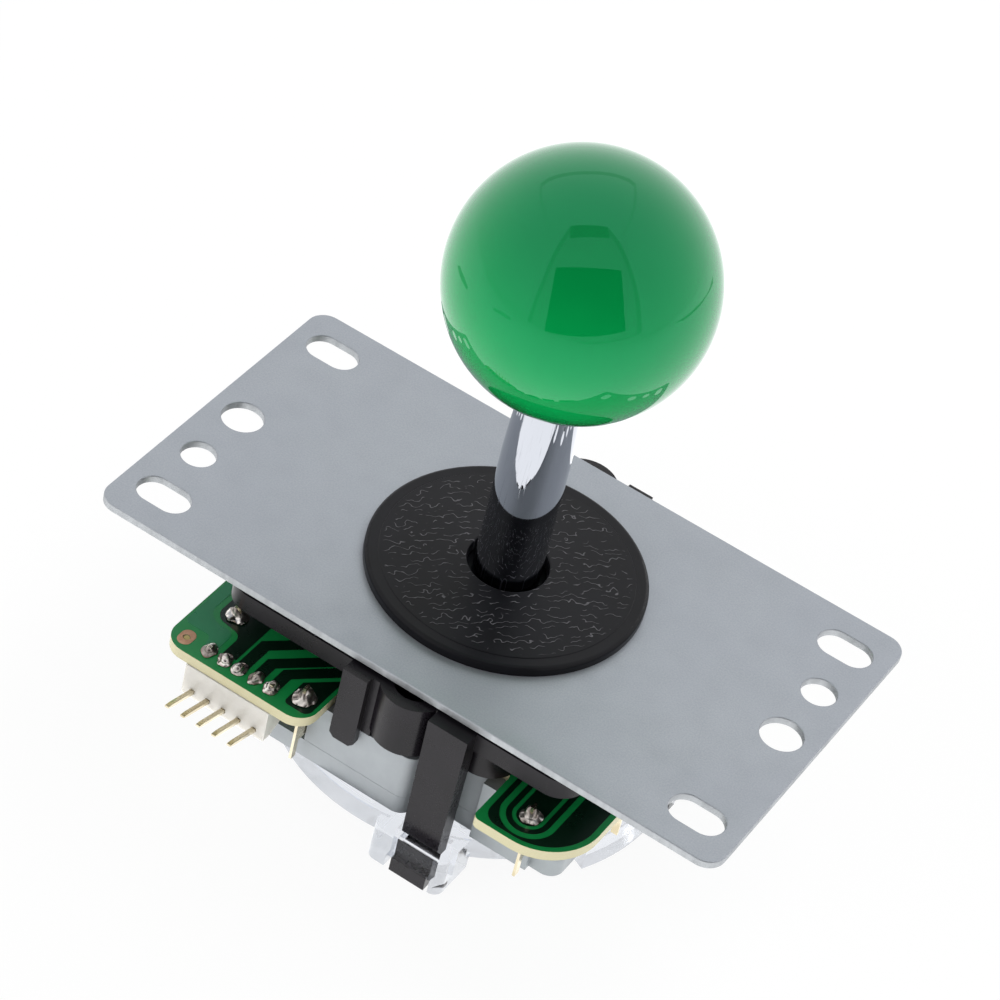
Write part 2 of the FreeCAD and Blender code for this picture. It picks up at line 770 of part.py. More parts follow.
def add_bowl(sketch, radius, level, low, high, inner, straight_wall):
    """Draw half a ball's section: an arc from low up to high, or up to a straight wall over the level."""
    arc_top = level if straight_wall else high
    low_angle = math.asin((low - level).value / radius.value)
    top_angle = math.asin((arc_top - level).value / radius.value)
    circle = Part.Circle(FreeCAD.Vector(0, level.value, 0), FreeCAD.Vector(0, 0, 1), radius.value)
    arc = sketch.addGeometry(Part.ArcOfCircle(circle, low_angle, top_angle), False)
    pin_point(sketch, arc, 3, 0, level)
    index = sketch.addConstraint(Sketcher.Constraint("Radius", arc, radius.value))
    sketch.setExpression(f"Constraints[{index}]", radius.formula)
    pin_point(sketch, arc, 1, None, low)
    pin_point(sketch, arc, 2, None, arc_top)
    corners = [(radius, high)] if straight_wall else []
    corners += [(inner, high), (inner, low)]
    before = arc
    before_end = FreeCAD.Vector(radius.value * math.cos(top_angle), arc_top.value, 0)
    for across, along in corners:
        corner = FreeCAD.Vector(across.value, along.value, 0)
        line = sketch.addGeometry(Part.LineSegment(before_end, corner), False)
        sketch.addConstraint(Sketcher.Constraint("Coincident", before, 2, line, 1))
        pin_point(sketch, line, 2, across, along)
        before = line
        before_end = corner
    arc_start = FreeCAD.Vector(radius.value * math.cos(low_angle), low.value, 0)
    line = sketch.addGeometry(Part.LineSegment(before_end, arc_start), False)
    sketch.addConstraint(Sketcher.Constraint("Coincident", before, 2, line, 1))
    sketch.addConstraint(Sketcher.Constraint("Coincident", line, 2, arc, 1))


def make_pivot():
    """Ball collar on which the lever rocks."""
    body = new_body("pivot")
    profile = new_sketch(body, "PivotProfile", "XZ_Plane")
    add_bowl(profile, dims.pivot_radius, pivot_level, pivot_level - dims.pivot_bottom_drop,
             pivot_top, tail_radius, False)
    revolve(body, profile, "PivotTurned")
    return body


def make_spring_seat():
    """Flanged ring that holds the top of the return spring under the cup."""
    body = new_body("spring_seat")
    profile = new_sketch(body, "SeatProfile", "XZ_Plane")
    lip = dims.seat_radius - dims.seat_lip_width
    add_polygon(profile, [(dims.cup_mouth_radius, cup_floor), (dims.seat_radius, cup_floor),
                          (dims.seat_radius, seat_bottom - dims.seat_lip_height),
                          (lip, seat_bottom - dims.seat_lip_height), (lip, seat_bottom),
                          (dims.cup_mouth_radius, seat_bottom)])
    revolve(body, profile, "SeatTurned")
    return body


def make_return_spring():
    """Coil spring between the seat and the actuator's shelf."""
    body = new_body("return_spring")
    low = drum_top - dims.drum_groove_depth + dims.spring_wire / 2
    rise = seat_bottom - dims.spring_wire / 2 - low
    section = new_sketch(body, "WireSection", "XZ_Plane")
    add_circle(section, dims.spring_radius, low, dims.spring_wire / 2)
    doc.recompute()
    coil = body.newObject("PartDesign::AdditiveHelix", "SpringCoil")
    coil.Profile = section
    coil.ReferenceAxis = (section, ["V_Axis"])
    coil.Mode = "pitch-height-angle"
    coil.setExpression("Height", rise.formula)
    coil.setExpression("Pitch", (rise / dims.spring_turns).formula)
    body.Tip = coil
    return body


def make_actuator():
    """Drum that presses the switches, with the barrel that meets the gate."""
    body = new_body("actuator")
    profile = new_sketch(body, "ActuatorProfile", "XZ_Plane")
    hub_radius = dims.spring_radius - dims.spring_wire / 2 - dims.fit_clearance
    shelf = drum_top - dims.drum_groove_depth
    add_polygon(profile, [(tail_radius, barrel_bottom), (dims.barrel_radius, barrel_bottom),
                          (dims.barrel_radius, drum_bottom), (dims.drum_radius, drum_bottom),
                          (dims.drum_radius, shelf), (hub_radius, shelf), (hub_radius, drum_top),
                          (tail_radius, drum_top)])
    revolve(body, profile, "ActuatorTurned")
    return body


def make_retaining_ring():
    """Open clip in the shaft's groove."""
    body = new_body("retaining_ring")
    outline = new_sketch(body, "ClipOutline", lift=ring_bottom)
    groove_radius = tail_radius - dims.ring_groove_depth
    add_circle(outline, 0, 0, dims.ring_radius)
    add_circle(outline, 0, 0, groove_radius)
    pad(body, outline, "ClipSheet", dims.ring_thickness)
    mouth = new_sketch(body, "ClipMouth", lift=barrel_bottom)
    add_rectangle(mouth, -dims.ring_mouth_width / 2, dims.ring_mouth_width / 2, -2 * dims.ring_radius, 0)
    pocket(body, mouth, "ClipMouthCut", dims.ring_thickness)
    return body


def quarter_turn(place, turns):
    """Turn a place on the plan round the lever's axis by quarter turns."""
    across, along = place
    for _ in range(turns):
        across, along = -along, across
    return across, along


def make_housing():
    """Moulded body: flange, pivot cup, bosses, tabs and the clip arms."""
    body = new_body("housing")
    outline = new_sketch(body, "FlangeOutline", lift=flange_top)
    half_length = flange_length / 2
    half_width = flange_width / 2
    add_rectangle(outline, -half_length, half_length, -half_width, half_width)
    pad(body, outline, "Flange", dims.flange_thickness, reverse=True)
    round_edges(body, "FlangeCorners", dims.flange_corner_radius, is_upright)
    land = new_sketch(body, "LandOutline", lift=plate_bottom)
    add_circle(land, 0, 0, dims.screw_spacing * math.sqrt(0.5) + dims.pillar_diameter / 2 + dims.land_margin)
    pad(body, land, "Land", dims.land_height + dims.flange_thickness / 2, reverse=True)

    cup = new_sketch(body, "CupOutline", lift=-dims.cup_top_depth)
    add_circle(cup, 0, 0, cup_outer_radius)
    pad(body, cup, "Cup", -dims.cup_top_depth - cup_floor, reverse=True)

    rib = new_sketch(body, "RibOutline", lift=flange_bottom)
    add_rectangle(rib, -dims.rib_thickness / 2, dims.rib_thickness / 2, -half_width, -cup_radius)
    ribs = pad(body, rib, "Rib", dims.rib_height, reverse=True)
    boss = new_sketch(body, "BossOutline", lift=flange_top)
    add_circle(boss, dims.boss_offset, -boss_distance, dims.boss_diameter / 2)
    bosses = pad(body, boss, "Boss", dims.flange_thickness + dims.boss_height, reverse=True)
    back_boss = new_sketch(body, "BackBossOutline", lift=flange_bottom)
    add_circle(back_boss, dims.back_boss_offset, dims.back_boss_setback - block_reach,
               dims.back_boss_diameter / 2)
    back_bosses = pad(body, back_boss, "BackBoss", dims.boss_height, reverse=True)
    web = new_sketch(body, "WebOutline", lift=flange_top)
    web_front = dims.tab_thickness - tab_face_distance
    add_rectangle(web, -dims.web_left, -dims.web_right, web_front, web_front + dims.web_depth)
    webs = pad(body, web, "Web", flange_top - board_bottom - dims.fit_clearance, reverse=True)
    tab = new_sketch(body, "TabOutline", "XZ_Plane", tab_face_distance)
    tab_left = -dims.tab_offset - dims.tab_width / 2
    tab_right = -dims.tab_offset + dims.tab_width / 2
    tab_end = flange_top - dims.tab_length
    add_polygon(tab, [(tab_left, tab_end + dims.tab_corner), (tab_left + dims.tab_corner, tab_end),
                      (tab_right - dims.tab_corner, tab_end), (tab_right, tab_end + dims.tab_corner),
                      (tab_right, flange_top), (tab_left, flange_top)])
    tabs = pad(body, tab, "Tab", dims.tab_thickness, reverse=True)
    root_sketch = new_sketch(body, "TabRootOutline", "XZ_Plane", tab_face_distance)
    add_rectangle(root_sketch, tab_left, tab_right, flange_top - dims.tab_root_height, flange_top)
    roots = pad(body, root_sketch, "TabRoot", tab_face_distance - half_width + dims.tab_thickness,
                reverse=True)
    arm_left = dims.arm_offset - dims.arm_width / 2
    arm_right = dims.arm_offset + dims.arm_width / 2
    arm = new_sketch(body, "ArmOutline", "XZ_Plane", arm_face_distance)
    add_polygon(arm, [(arm_left + dims.arm_taper, foot_bottom), (arm_right - dims.arm_taper, foot_bottom),
                      (arm_right, flange_top), (arm_left, flange_top)])
    arms = pad(body, arm, "Arm", dims.arm_thickness, reverse=True)
    foot = new_sketch(body, "FootOutline", "XZ_Plane", arm_face_distance)
    add_rectangle(foot, arm_left + dims.arm_taper, arm_right - dims.arm_taper, foot_bottom, foot_top)
    feet = pad(body, foot, "Foot", dims.foot_reach)
    repeat_round(body, [ribs, bosses, back_bosses, webs, tabs, roots, arms, feet], "FourSides", 4)

    pillars = new_sketch(body, "PillarOutlines", lift=flange_bottom)
    for across, along in screw_places():
        add_circle(pillars, across, along, dims.pillar_diameter / 2)
    pad(body, pillars, "Pillars", dims.pillar_height, reverse=True)
    pilots = new_sketch(body, "PilotHoles", lift=plate_bottom)
    for across, along in screw_places():
        add_circle(pilots, across, along, dims.screw_diameter / 2)
    pocket(body, pilots, "PilotCuts", dims.screw_length - dims.plate_thickness + dims.screw_clearance)
    bores = new_sketch(body, "BossBores", lift=flange_top)
    for turns in range(4):
        across, along = quarter_turn((dims.boss_offset, -boss_distance), turns)
        add_circle(bores, across, along, dims.boss_bore_diameter / 2)
    pocket(body, bores, "BossBoreCuts", dims.boss_bore_depth)

    mouth_drop = root(cup_radius * cup_radius - dims.cup_mouth_radius * dims.cup_mouth_radius)
    bowl = new_sketch(body, "CupBowl", "XZ_Plane")
    add_bowl(bowl, cup_radius, pivot_level, pivot_level - mouth_drop, -dims.cup_top_depth, as_size(0), True)
    groove(body, bowl, "CupBowlCut")
    mouth = new_sketch(body, "CupMouth", lift=pivot_level)
    add_circle(mouth, 0, 0, dims.cup_mouth_radius)
    pocket(body, mouth, "CupMouthCut")
    return body


def leg_places():
    """Where the eight switch legs go through the board."""
    first = [(-common_leg_x, -common_leg_y), (-dims.contact_leg_x, -contact_leg_y)]
    return [quarter_turn(place, turns) for turns in range(4) for place in first]


def pin_places():
    """Where the header's pins go through the board."""
    return [(pin_first_x + number * dims.pin_pitch, -pin_row_distance)
            for number in range(int(dims.pin_count.value))]


def make_circuit_board():
    """Board whose lobes reach out between the clip arms."""
    body = new_body("circuit_board")
    outline = new_sketch(body, "BoardOutline", lift=board_top)
    outer = board_half_width
    inner = board_inner
    near = dims.board_notch_near
    far = dims.board_notch_far
    front = board_front
    right_front = board_right_front
    add_polygon(outline, [
        (-outer, -front), (-near, -front), (-near, -inner), (far, -inner), (far, -right_front),
        (outer, -right_front), (outer, -near), (inner, -near), (inner, far), (outer, far),
        (outer, outer), (near, outer), (near, inner), (-far, inner), (-far, outer),
        (-outer, outer), (-outer, near), (-inner, near), (-inner, -far), (-outer, -far)])
    pad(body, outline, "BoardSheet", dims.board_thickness, reverse=True)
    round_edges(body, "BoardWideCorner", dims.board_wide_radius,
                lambda edge: upright_at(edge, outer, -right_front))
    outer_corners = [(-outer, -front), (-near, -front), (outer, outer), (-outer, outer)]
    round_edges(body, "BoardCorners", dims.board_corner_radius,
                lambda edge: any(upright_at(edge, *place) for place in outer_corners))
    small_corners = [(far, -right_front), (outer, -near), (outer, far), (near, outer), (-far, outer),
                     (-outer, near), (-outer, -far), (-near, -inner), (far, -inner), (inner, -near),
                     (inner, far), (near, inner), (-far, inner), (-inner, near), (-inner, -far)]
    round_edges(body, "BoardSmallCorners", dims.board_inner_radius,
                lambda edge: any(upright_at(edge, *place) for place in small_corners))
    opening = new_sketch(body, "BoardOpening", lift=board_top)
    half_opening = dims.board_opening / 2
    add_rectangle(opening, -half_opening, half_opening, -half_opening, half_opening)
    for across, along in leg_places():
        add_circle(opening, across, along, dims.leg_hole_diameter / 2)
    for across, along in pin_places() + [(pin_first_x - dims.spare_hole_gap, -pin_row_distance)]:
        add_circle(opening, across, along, dims.pin_hole_diameter / 2)
    pocket(body, opening, "BoardHoles")
    return body


def pin_outline():
    """Side outline of one header pin: down through the board, out of the block and up to its point."""
    half = dims.pin_width / 2
    row = -pin_row_distance
    face = -header_front
    low = board_bottom - dims.pin_drop
    top = board_top + dims.pin_stub
    tip = face - dims.pin_reach
    taper = tip + dims.pin_point_length
    taper_level = low + dims.pin_rise * (face - taper) / dims.pin_reach
    tip_level = low + dims.pin_rise
    return [(tip, tip_level - half / 2), (taper, taper_level - half), (face, low - half),
            (row + half, low - half), (row + half, top), (row - half, top), (row - half, low + half),
            (face, low + half), (taper, taper_level + half), (tip, tip_level + half / 2)]


def make_connector_housing():
    """White block of the header, hanging under the board's front edge."""
    body = new_body("connector_housing")
    left = pin_first_x - dims.header_margin
    length = (dims.pin_count - 1) * dims.pin_pitch + 2 * dims.header_margin
    side = new_sketch(body, "HeaderSide", "YZ_Plane", left)
    front = -header_front
    back = front + dims.header_depth
    bottom = board_bottom - dims.header_height
    add_polygon(side, [(front, bottom), (front + dims.header_sole, bottom),
                       (back, bottom + dims.header_heel_rise), (back, board_bottom),
                       (front, board_bottom)])
    pad(body, side, "HeaderBlock", length)
    channel = new_sketch(body, "PinChannel", "YZ_Plane", pin_first_x)
    add_polygon(channel, pin_outline())
    channels = pocket(body, channel, "PinChannelCut", dims.pin_width, midplane=True)
    repeat_along(body, [channels], "PinChannels", "X_Axis", (dims.pin_count - 1) * dims.pin_pitch,
                 int(dims.pin_count.value))
    return body


def make_connector_pins():
    """Bent square pins of the header."""
    body = new_body("connector_pins")
    side = new_sketch(body, "PinSide", "YZ_Plane", pin_first_x)
    add_polygon(side, pin_outline())
    pin = pad(body, side, "Pin", dims.pin_width, midplane=True)
    repeat_along(body, [pin], "Pins", "X_Axis", (dims.pin_count - 1) * dims.pin_pitch,
                 int(dims.pin_count.value))
    return body


def make_solder_joints():
    """Solder cones on the board's top, round the header pins and the switch legs."""
    body = new_body("solder_joints")
    joints = [
        ("PinSolder", pin_places(), dims.pin_solder_radius, dims.pin_solder_height, dims.pin_solder_slope),
        ("LegSolder", leg_places(), dims.leg_solder_radius, dims.leg_solder_height, dims.leg_solder_slope)]
    for name, places, radius, height, slope in joints:
        spots = new_sketch(body, name, lift=board_top)
        for across, along in places:
            add_circle(spots, across, along, radius)
        cones = pad(body, spots, name + "Cones", height)
        cones.setExpression("TaperAngle", (-slope).formula)
    wells = new_sketch(body, "SolderWells", lift=board_top)
    half = dims.pin_width / 2
    for across, along in pin_places():
        add_rectangle(wells, across - half, across + half, along - half, along + half)
    pocket(body, wells, "PinWells", dims.pin_stub, reverse=True)
    leg_wells = new_sketch(body, "LegWellOutlines", lift=board_top)
    for number, (across, along) in enumerate(leg_places()):
        turned = (number % 2) != (number // 2) % 2
        half_x = (dims.leg_thickness if turned else dims.leg_width) / 2
        half_y = (dims.leg_width if turned else dims.leg_thickness) / 2
        add_rectangle(leg_wells, across - half_x, across + half_x, along - half_y, along + half_y)
    pocket(body, leg_wells, "LegWells", dims.leg_stub, reverse=True)
    return body


# Outline of one switch on the plan, at the front of the lever
case_right = dims.plunger_inset
case_left = dims.plunger_inset - dims.switch_length
case_near = -dims.switch_face_distance
case_far = case_near - dims.switch_depth
cavity_right = case_right - dims.case_wall
cavity_near = case_near - dims.case_wall
plunger_rear = -(plunger_tip + dims.plunger_length)
SIDES = ["front", "right", "back", "left"]


def turn_to_side(body, turns):
    """Turn a piece of the front switch to another side of the lever."""
    turn = FreeCAD.Rotation(FreeCAD.Vector(0, 0, 1), 90 * turns)
    body.Placement = FreeCAD.Placement(FreeCAD.Vector(0, 0, 0), turn)


def add_switch_outline(body, name, bottom, height):
    """Pad the plan of a switch case with its end block and round its outer corners."""
    outline = new_sketch(body, name, lift=bottom)
    add_rectangle(outline, case_left, case_right, case_far, case_near)
    pad(body, outline, name + "Block", height)
    round_edges(body, name + "Corners", dims.case_corner_radius,
                lambda edge: upright_at(edge, case_left, case_far) or upright_at(edge, case_right, case_far))
    end_block = new_sketch(body, name + "EndOutline", lift=bottom)
    block_near = case_near - dims.end_block_start
    add_rectangle(end_block, case_left - dims.end_block_reach, case_left + dims.end_block_reach,
                  block_near - dims.end_block_width, block_near)
    pad(body, end_block, name + "EndBlock", height)


def cut_fixing_holes(body, name, level):
    """Cut the two holes that the gate's pegs enter."""
    holes = new_sketch(body, name, lift=level)
    add_circle(holes, case_right - dims.near_hole_inset, case_far + dims.near_hole_setback,
               dims.fixing_hole_diameter / 2)
    add_circle(holes, case_left + dims.far_hole_inset, case_near - dims.far_hole_setback,
               dims.fixing_hole_diameter / 2)
    pocket(body, holes, name + "Cut")


def make_switch_case(side, turns):
    """Upper half of a switch, hollow and open below."""
    body = new_body("switch_case_" + side)
    add_switch_outline(body, "Case", case_bottom, dims.case_height)
    recess = new_sketch(body, "FaceRecess", lift=board_bottom)
    add_rectangle(recess, case_left + dims.case_corner_radius, case_left + dims.face_recess_width,
                  case_far - dims.face_recess, case_far + dims.face_recess)
    pocket(body, recess, "FaceRecessCut", dims.case_height)
    cavity = new_sketch(body, "Cavity", lift=board_bottom - dims.case_roof)
    add_rectangle(cavity, cavity_right - dims.cavity_length, cavity_right,
                  cavity_near - dims.cavity_depth, cavity_near)
    pocket(body, cavity, "CavityCut", dims.case_height)
    cut_fixing_holes(body, "CaseFixings", board_bottom)
    port = new_sketch(body, "PlungerPort", "XZ_Plane", -cavity_near + dims.case_wall)
    half_width = dims.plunger_width / 2 + dims.plunger_clearance
    half_height = dims.plunger_height / 2 + dims.plunger_clearance
    add_rectangle(port, -half_width, half_width, plunger_level - half_height, plunger_level + half_height)
    pocket(body, port, "PlungerPortCut")
    strip_low = plunger_level - dims.terminal_height / 2
    strip_high = plunger_level + dims.terminal_height / 2
    common = new_sketch(body, "CommonSlot", "XZ_Plane", common_leg_y)
    add_rectangle(common, case_left - 2 * dims.end_block_reach, case_left + dims.terminal_bite,
                  strip_low, strip_high)
    pocket(body, common, "CommonSlotCut", dims.leg_thickness, midplane=True)
    contact = new_sketch(body, "ContactSlot", "YZ_Plane", -dims.contact_leg_x)
    add_rectangle(contact, case_far - dims.face_recess, case_far + dims.face_recess + dims.terminal_bite,
                  strip_low, strip_high)
    pocket(body, contact, "ContactSlotCut", dims.leg_thickness, midplane=True)
    turn_to_side(body, turns)
    return body


def make_switch_cover(side, turns):
    """Lower half of a switch, below the seam."""
    body = new_body("switch_cover_" + side)
    add_switch_outline(body, "Cover", cover_bottom, dims.cover_height)
    cut_fixing_holes(body, "CoverFixings", case_bottom)
    turn_to_side(body, turns)
    return body


def make_switch_plunger(side, turns):
    """Button that slides in the switch's port."""
    body = new_body("switch_plunger_" + side)
    plan = new_sketch(body, "PlungerPlan", lift=plunger_level)
    half = dims.plunger_width / 2
    head = dims.plunger_head_width / 2
    head_front = plunger_rear + dims.plunger_head_length
    add_polygon(plan, [(-half, -plunger_tip), (half, -plunger_tip), (half, head_front), (head, head_front),
                       (head, plunger_rear), (-head, plunger_rear), (-head, head_front), (-half, head_front)])
    pad(body, plan, "PlungerBar", dims.plunger_height, midplane=True)
    round_edges(body, "PlungerNose", dims.plunger_nose_radius,
                lambda edge: is_upright(edge) and is_near(edge.BoundBox.YMin, -plunger_tip))
    turn_to_side(body, turns)
    return body


def make_switch_blade(side, turns):
    """Snap blade behind the plunger, clear of its full travel."""
    body = new_body("switch_blade_" + side)
    plan = new_sketch(body, "BladePlan", lift=plunger_level)
    free = plunger_rear - dims.plunger_travel - dims.blade_gap
    fixed = free - dims.blade_rise
    anchor = cavity_right - dims.cavity_length
    bend = anchor + dims.blade_root_length
    tip = dims.plunger_width
    thick = dims.blade_thickness
    add_polygon(plan, [(anchor, fixed), (bend, fixed), (2 * bend - anchor, free), (tip, free),
                       (tip, free - thick), (2 * bend - anchor, free - thick), (bend, fixed - thick),
                       (anchor, fixed - thick)])
    pad(body, plan, "BladeStrip", dims.blade_width, midplane=True)
    turn_to_side(body, turns)
    return body


def leg_outline(row, inside):
    """Side outline of a terminal: a strip from inside the case to a leg through the board."""
    step = 1 if inside.value > row.value else -1
    outer = row - step * dims.leg_width / 2
    inner = row + step * dims.leg_width / 2
    strip_low = plunger_level - dims.terminal_height / 2
    strip_high = plunger_level + dims.terminal_height / 2
    return [(inside, strip_high), (inner, strip_high), (inner, board_top + dims.leg_stub),
            (outer, board_top + dims.leg_stub), (outer, board_bottom - dims.leg_drop),
            (inner, board_bottom - dims.leg_drop), (inner, strip_low), (inside, strip_low)]


def make_switch_terminals(side, turns):
    """Common and contact terminals of a switch."""
    body = new_body("switch_terminals_" + side)
    common = new_sketch(body, "CommonOutline", "XZ_Plane", common_leg_y)
    add_polygon(common, leg_outline(-common_leg_x, case_left + dims.terminal_bite))
    pad(body, common, "CommonStrip", dims.leg_thickness, midplane=True)
    contact = new_sketch(body, "ContactOutline", "YZ_Plane", -dims.contact_leg_x)
    add_polygon(contact, leg_outline(-contact_leg_y,
                                     case_far + dims.face_recess + dims.terminal_bite))
    pad(body, contact, "ContactStrip", dims.leg_thickness, midplane=True)
    turn_to_side(body, turns)
    return body


def make_restrictor_gate():
    """Clear tray with the square opening, held on the arms by its four ears."""
    body = new_body("restrictor_gate")
    disc = new_sketch(body, "GateDisc", lift=cover_bottom)
    add_circle(disc, 0, 0, gate_radius)
    pad(body, disc, "GateBlank", dims.gate_depth, reverse=True)
    tray = new_sketch(body, "GateTray", lift=cover_bottom)
    add_circle(tray, 0, 0, gate_radius - dims.gate_rim_wall)
    pocket(body, tray, "GateTrayCut", dims.gate_depth - dims.gate_floor_thickness)

    wall = new_sketch(body, "GateWallOutline", lift=gate_floor)
    wall_half = gate_opening_half + dims.gate_wall
    add_rectangle(wall, -wall_half, wall_half, -wall_half, wall_half)
    pad(body, wall, "GateWall", cover_bottom - gate_floor)

    ear = new_sketch(body, "EarOutline", lift=bar_top)
    ear_left = dims.ear_offset - dims.ear_width / 2
    ear_right = dims.ear_offset + dims.ear_width / 2
    ear_inner = -(arm_face_distance - dims.arm_thickness - 2 * dims.bar_thickness)
    add_rectangle(ear, ear_left, ear_right, -ear_face_distance, ear_inner)
    ears = pad(body, ear, "Ear", bar_top - ear_bottom, reverse=True)
    boss = new_sketch(body, "PegBosses", lift=gate_floor)
    peg = new_sketch(body, "PegOutlines", lift=gate_floor)
    peg_places = [(case_right - dims.near_hole_inset, case_far + dims.near_hole_setback),
                  (case_left + dims.far_hole_inset, case_near - dims.far_hole_setback)]
    for across, along in peg_places:
        add_circle(boss, across, along, dims.peg_boss_diameter / 2)
        add_circle(peg, across, along, dims.fixing_hole_diameter / 2 - dims.fit_clearance)
    bosses = pad(body, boss, "PegBoss", cover_bottom - gate_floor)
    pegs = pad(body, peg, "Peg", cover_bottom - gate_floor + dims.peg_height)
    repeat_round(body, [ears, bosses, pegs], "GateSides", 4)
    outer_corners = [quarter_turn((across, -ear_face_distance), turns)
                     for across in (ear_left, ear_right) for turns in range(4)]
    round_edges(body, "EarCorners", dims.ear_corner_radius,
                lambda edge: any(upright_at(edge, *place) for place in outer_corners))

    skirt = new_sketch(body, "SkirtOutline", lift=cover_bottom)
    add_sector(skirt, gate_radius - dims.gate_rim_wall, skirt_radius,
               dims.skirt_start_angle, dims.skirt_end_angle)
    skirts = pad(body, skirt, "Skirt", cover_bottom - gate_bottom + dims.skirt_drop, reverse=True)
    repeat_round(body, [skirts], "GateSkirts", 2)

    slot = new_sketch(body, "ArmSlots", lift=cover_bottom + dims.gate_depth)
    window = new_sketch(body, "FootWindows", lift=bar_bottom)
    slot_half = dims.arm_width / 2 + dims.ear_slot_clearance
    slot_outer = -(ear_face_distance - dims.bar_thickness)
    slot_inner = -(arm_face_distance - dims.arm_thickness - dims.ear_slot_clearance)
    add_rectangle(slot, dims.arm_offset - slot_half, dims.arm_offset + slot_half, slot_outer, slot_inner)
    add_rectangle(window, dims.arm_offset - slot_half, dims.arm_offset + slot_half,
                  -ear_face_distance - dims.bar_thickness, slot_inner)
    slots = pocket(body, slot, "ArmSlotCut")
    windows = pocket(body, window, "FootWindowCut")
    repeat_round(body, [slots, windows], "GateCuts", 4)

    opening = new_sketch(body, "GateOpening", lift=cover_bottom)
    add_rectangle(opening, -gate_opening_half, gate_opening_half, -gate_opening_half, gate_opening_half)
    pocket(body, opening, "GateOpeningCut")
    round_edges(body, "GateOpeningCorners", dims.gate_corner_radius,
                lambda edge: is_upright(edge) and is_near(abs(edge.BoundBox.XMin), gate_opening_half)
                and is_near(abs(edge.BoundBox.YMin), gate_opening_half))
    return body


def add_sector(sketch, inner, outer, start, end):
    """Draw a ring sector between two angles round the sketch's origin."""
    ring = [(inner, start, end), (outer, start, end)]
    arcs = []
    for radius, first, last in ring:
        circle = Part.Circle(FreeCAD.Vector(0, 0, 0), FreeCAD.Vector(0, 0, 1), radius.value)
        arc = sketch.addGeometry(Part.ArcOfCircle(circle, math.radians(first.value),
                                                  math.radians(last.value)), False)
        sketch.addConstraint(Sketcher.Constraint("Coincident", arc, 3, -1, 1))
        pin_point(sketch, arc, 1, radius * cosine(first), radius * sine(first))
        pin_point(sketch, arc, 2, None, radius * sine(last))
        arcs.append(arc)
    for end_point, angle in ((1, start), (2, end)):
        points = [FreeCAD.Vector(radius.value * math.cos(math.radians(angle.value)),
                                 radius.value * math.sin(math.radians(angle.value)), 0)
                  for radius in (inner, outer)]
        line = sketch.addGeometry(Part.LineSegment(points[0], points[1]), False)
        sketch.addConstraint(Sketcher.Constraint("Coincident", line, 1, arcs[0], end_point))
        sketch.addConstraint(Sketcher.Constraint("Coincident", line, 2, arcs[1], end_point))


pieces = [
    make_mounting_plate(),
    make_plate_screws(),
    make_dust_washer(),
    make_ball_top(),
    make_ball_insert(),
    make_shaft(),
    make_pivot(),
    make_spring_seat(),
    make_return_spring(),
    make_actuator(),
    make_retaining_ring(),
    make_housing(),
    make_circuit_board(),
    make_connector_housing(),
    make_connector_pins(),
    make_solder_joints(),
    make_restrictor_gate(),
]
for turns, side in enumerate(SIDES):
    pieces.append(make_switch_case(side, turns))
    pieces.append(make_switch_cover(side, turns))
    pieces.append(make_switch_plunger(side, turns))
    pieces.append(make_switch_blade(side, turns))
    pieces.append(make_switch_terminals(side, turns))
doc.recompute()

# Every object must have recomputed, and every piece must be a sound solid
for item in doc.Objects:
    faults = [state for state in item.State if state in ("Invalid", "Error")]
    if faults:
        raise ValueError(f"{item.Name} did not recompute: {faults}")
for piece in pieces:
    if piece.Shape.isNull() or not piece.Shape.isValid():
        raise ValueError(f"{piece.Label} is not a sound shape")

os.makedirs("parts", exist_ok=True)
for piece in pieces:
    piece.Shape.exportStep(os.path.join("parts", piece.Label + ".step"))
    box = piece.Shape.BoundBox
    print(f"{piece.Label}: {len(piece.Shape.Solids)} solid(s), {piece.Shape.Volume:.1f} mm3, "
          f"z {box.ZMin:.2f} to {box.ZMax:.2f}")
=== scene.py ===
import bpy
import json
import math
from mathutils import Euler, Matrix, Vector

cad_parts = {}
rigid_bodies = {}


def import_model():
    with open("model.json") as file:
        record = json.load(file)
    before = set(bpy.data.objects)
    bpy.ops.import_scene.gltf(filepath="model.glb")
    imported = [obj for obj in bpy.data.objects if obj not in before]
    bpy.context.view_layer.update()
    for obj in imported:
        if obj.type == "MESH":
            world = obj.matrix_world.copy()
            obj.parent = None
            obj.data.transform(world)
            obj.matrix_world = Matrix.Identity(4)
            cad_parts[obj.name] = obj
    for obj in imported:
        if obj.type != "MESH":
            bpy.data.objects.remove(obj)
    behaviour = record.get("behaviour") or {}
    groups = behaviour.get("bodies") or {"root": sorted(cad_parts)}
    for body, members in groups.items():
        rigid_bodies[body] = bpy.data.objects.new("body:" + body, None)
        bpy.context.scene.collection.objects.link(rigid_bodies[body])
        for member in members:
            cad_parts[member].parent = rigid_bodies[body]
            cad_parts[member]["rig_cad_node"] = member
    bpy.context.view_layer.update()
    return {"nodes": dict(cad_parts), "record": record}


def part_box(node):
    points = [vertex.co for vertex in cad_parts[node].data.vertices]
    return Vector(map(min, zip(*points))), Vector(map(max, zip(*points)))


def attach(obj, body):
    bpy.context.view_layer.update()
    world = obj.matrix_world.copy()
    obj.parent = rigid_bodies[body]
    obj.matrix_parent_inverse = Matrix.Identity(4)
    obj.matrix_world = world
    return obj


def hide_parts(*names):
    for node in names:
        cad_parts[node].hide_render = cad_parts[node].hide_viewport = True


# Arcade joystick lever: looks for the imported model, in metres.
# The plate's top face is z = 0, the lever rises along +Z and the wiring header faces -Y.

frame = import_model()
NODES = frame["nodes"]
MM = 0.001
SIDES = ["front", "right", "back", "left"]

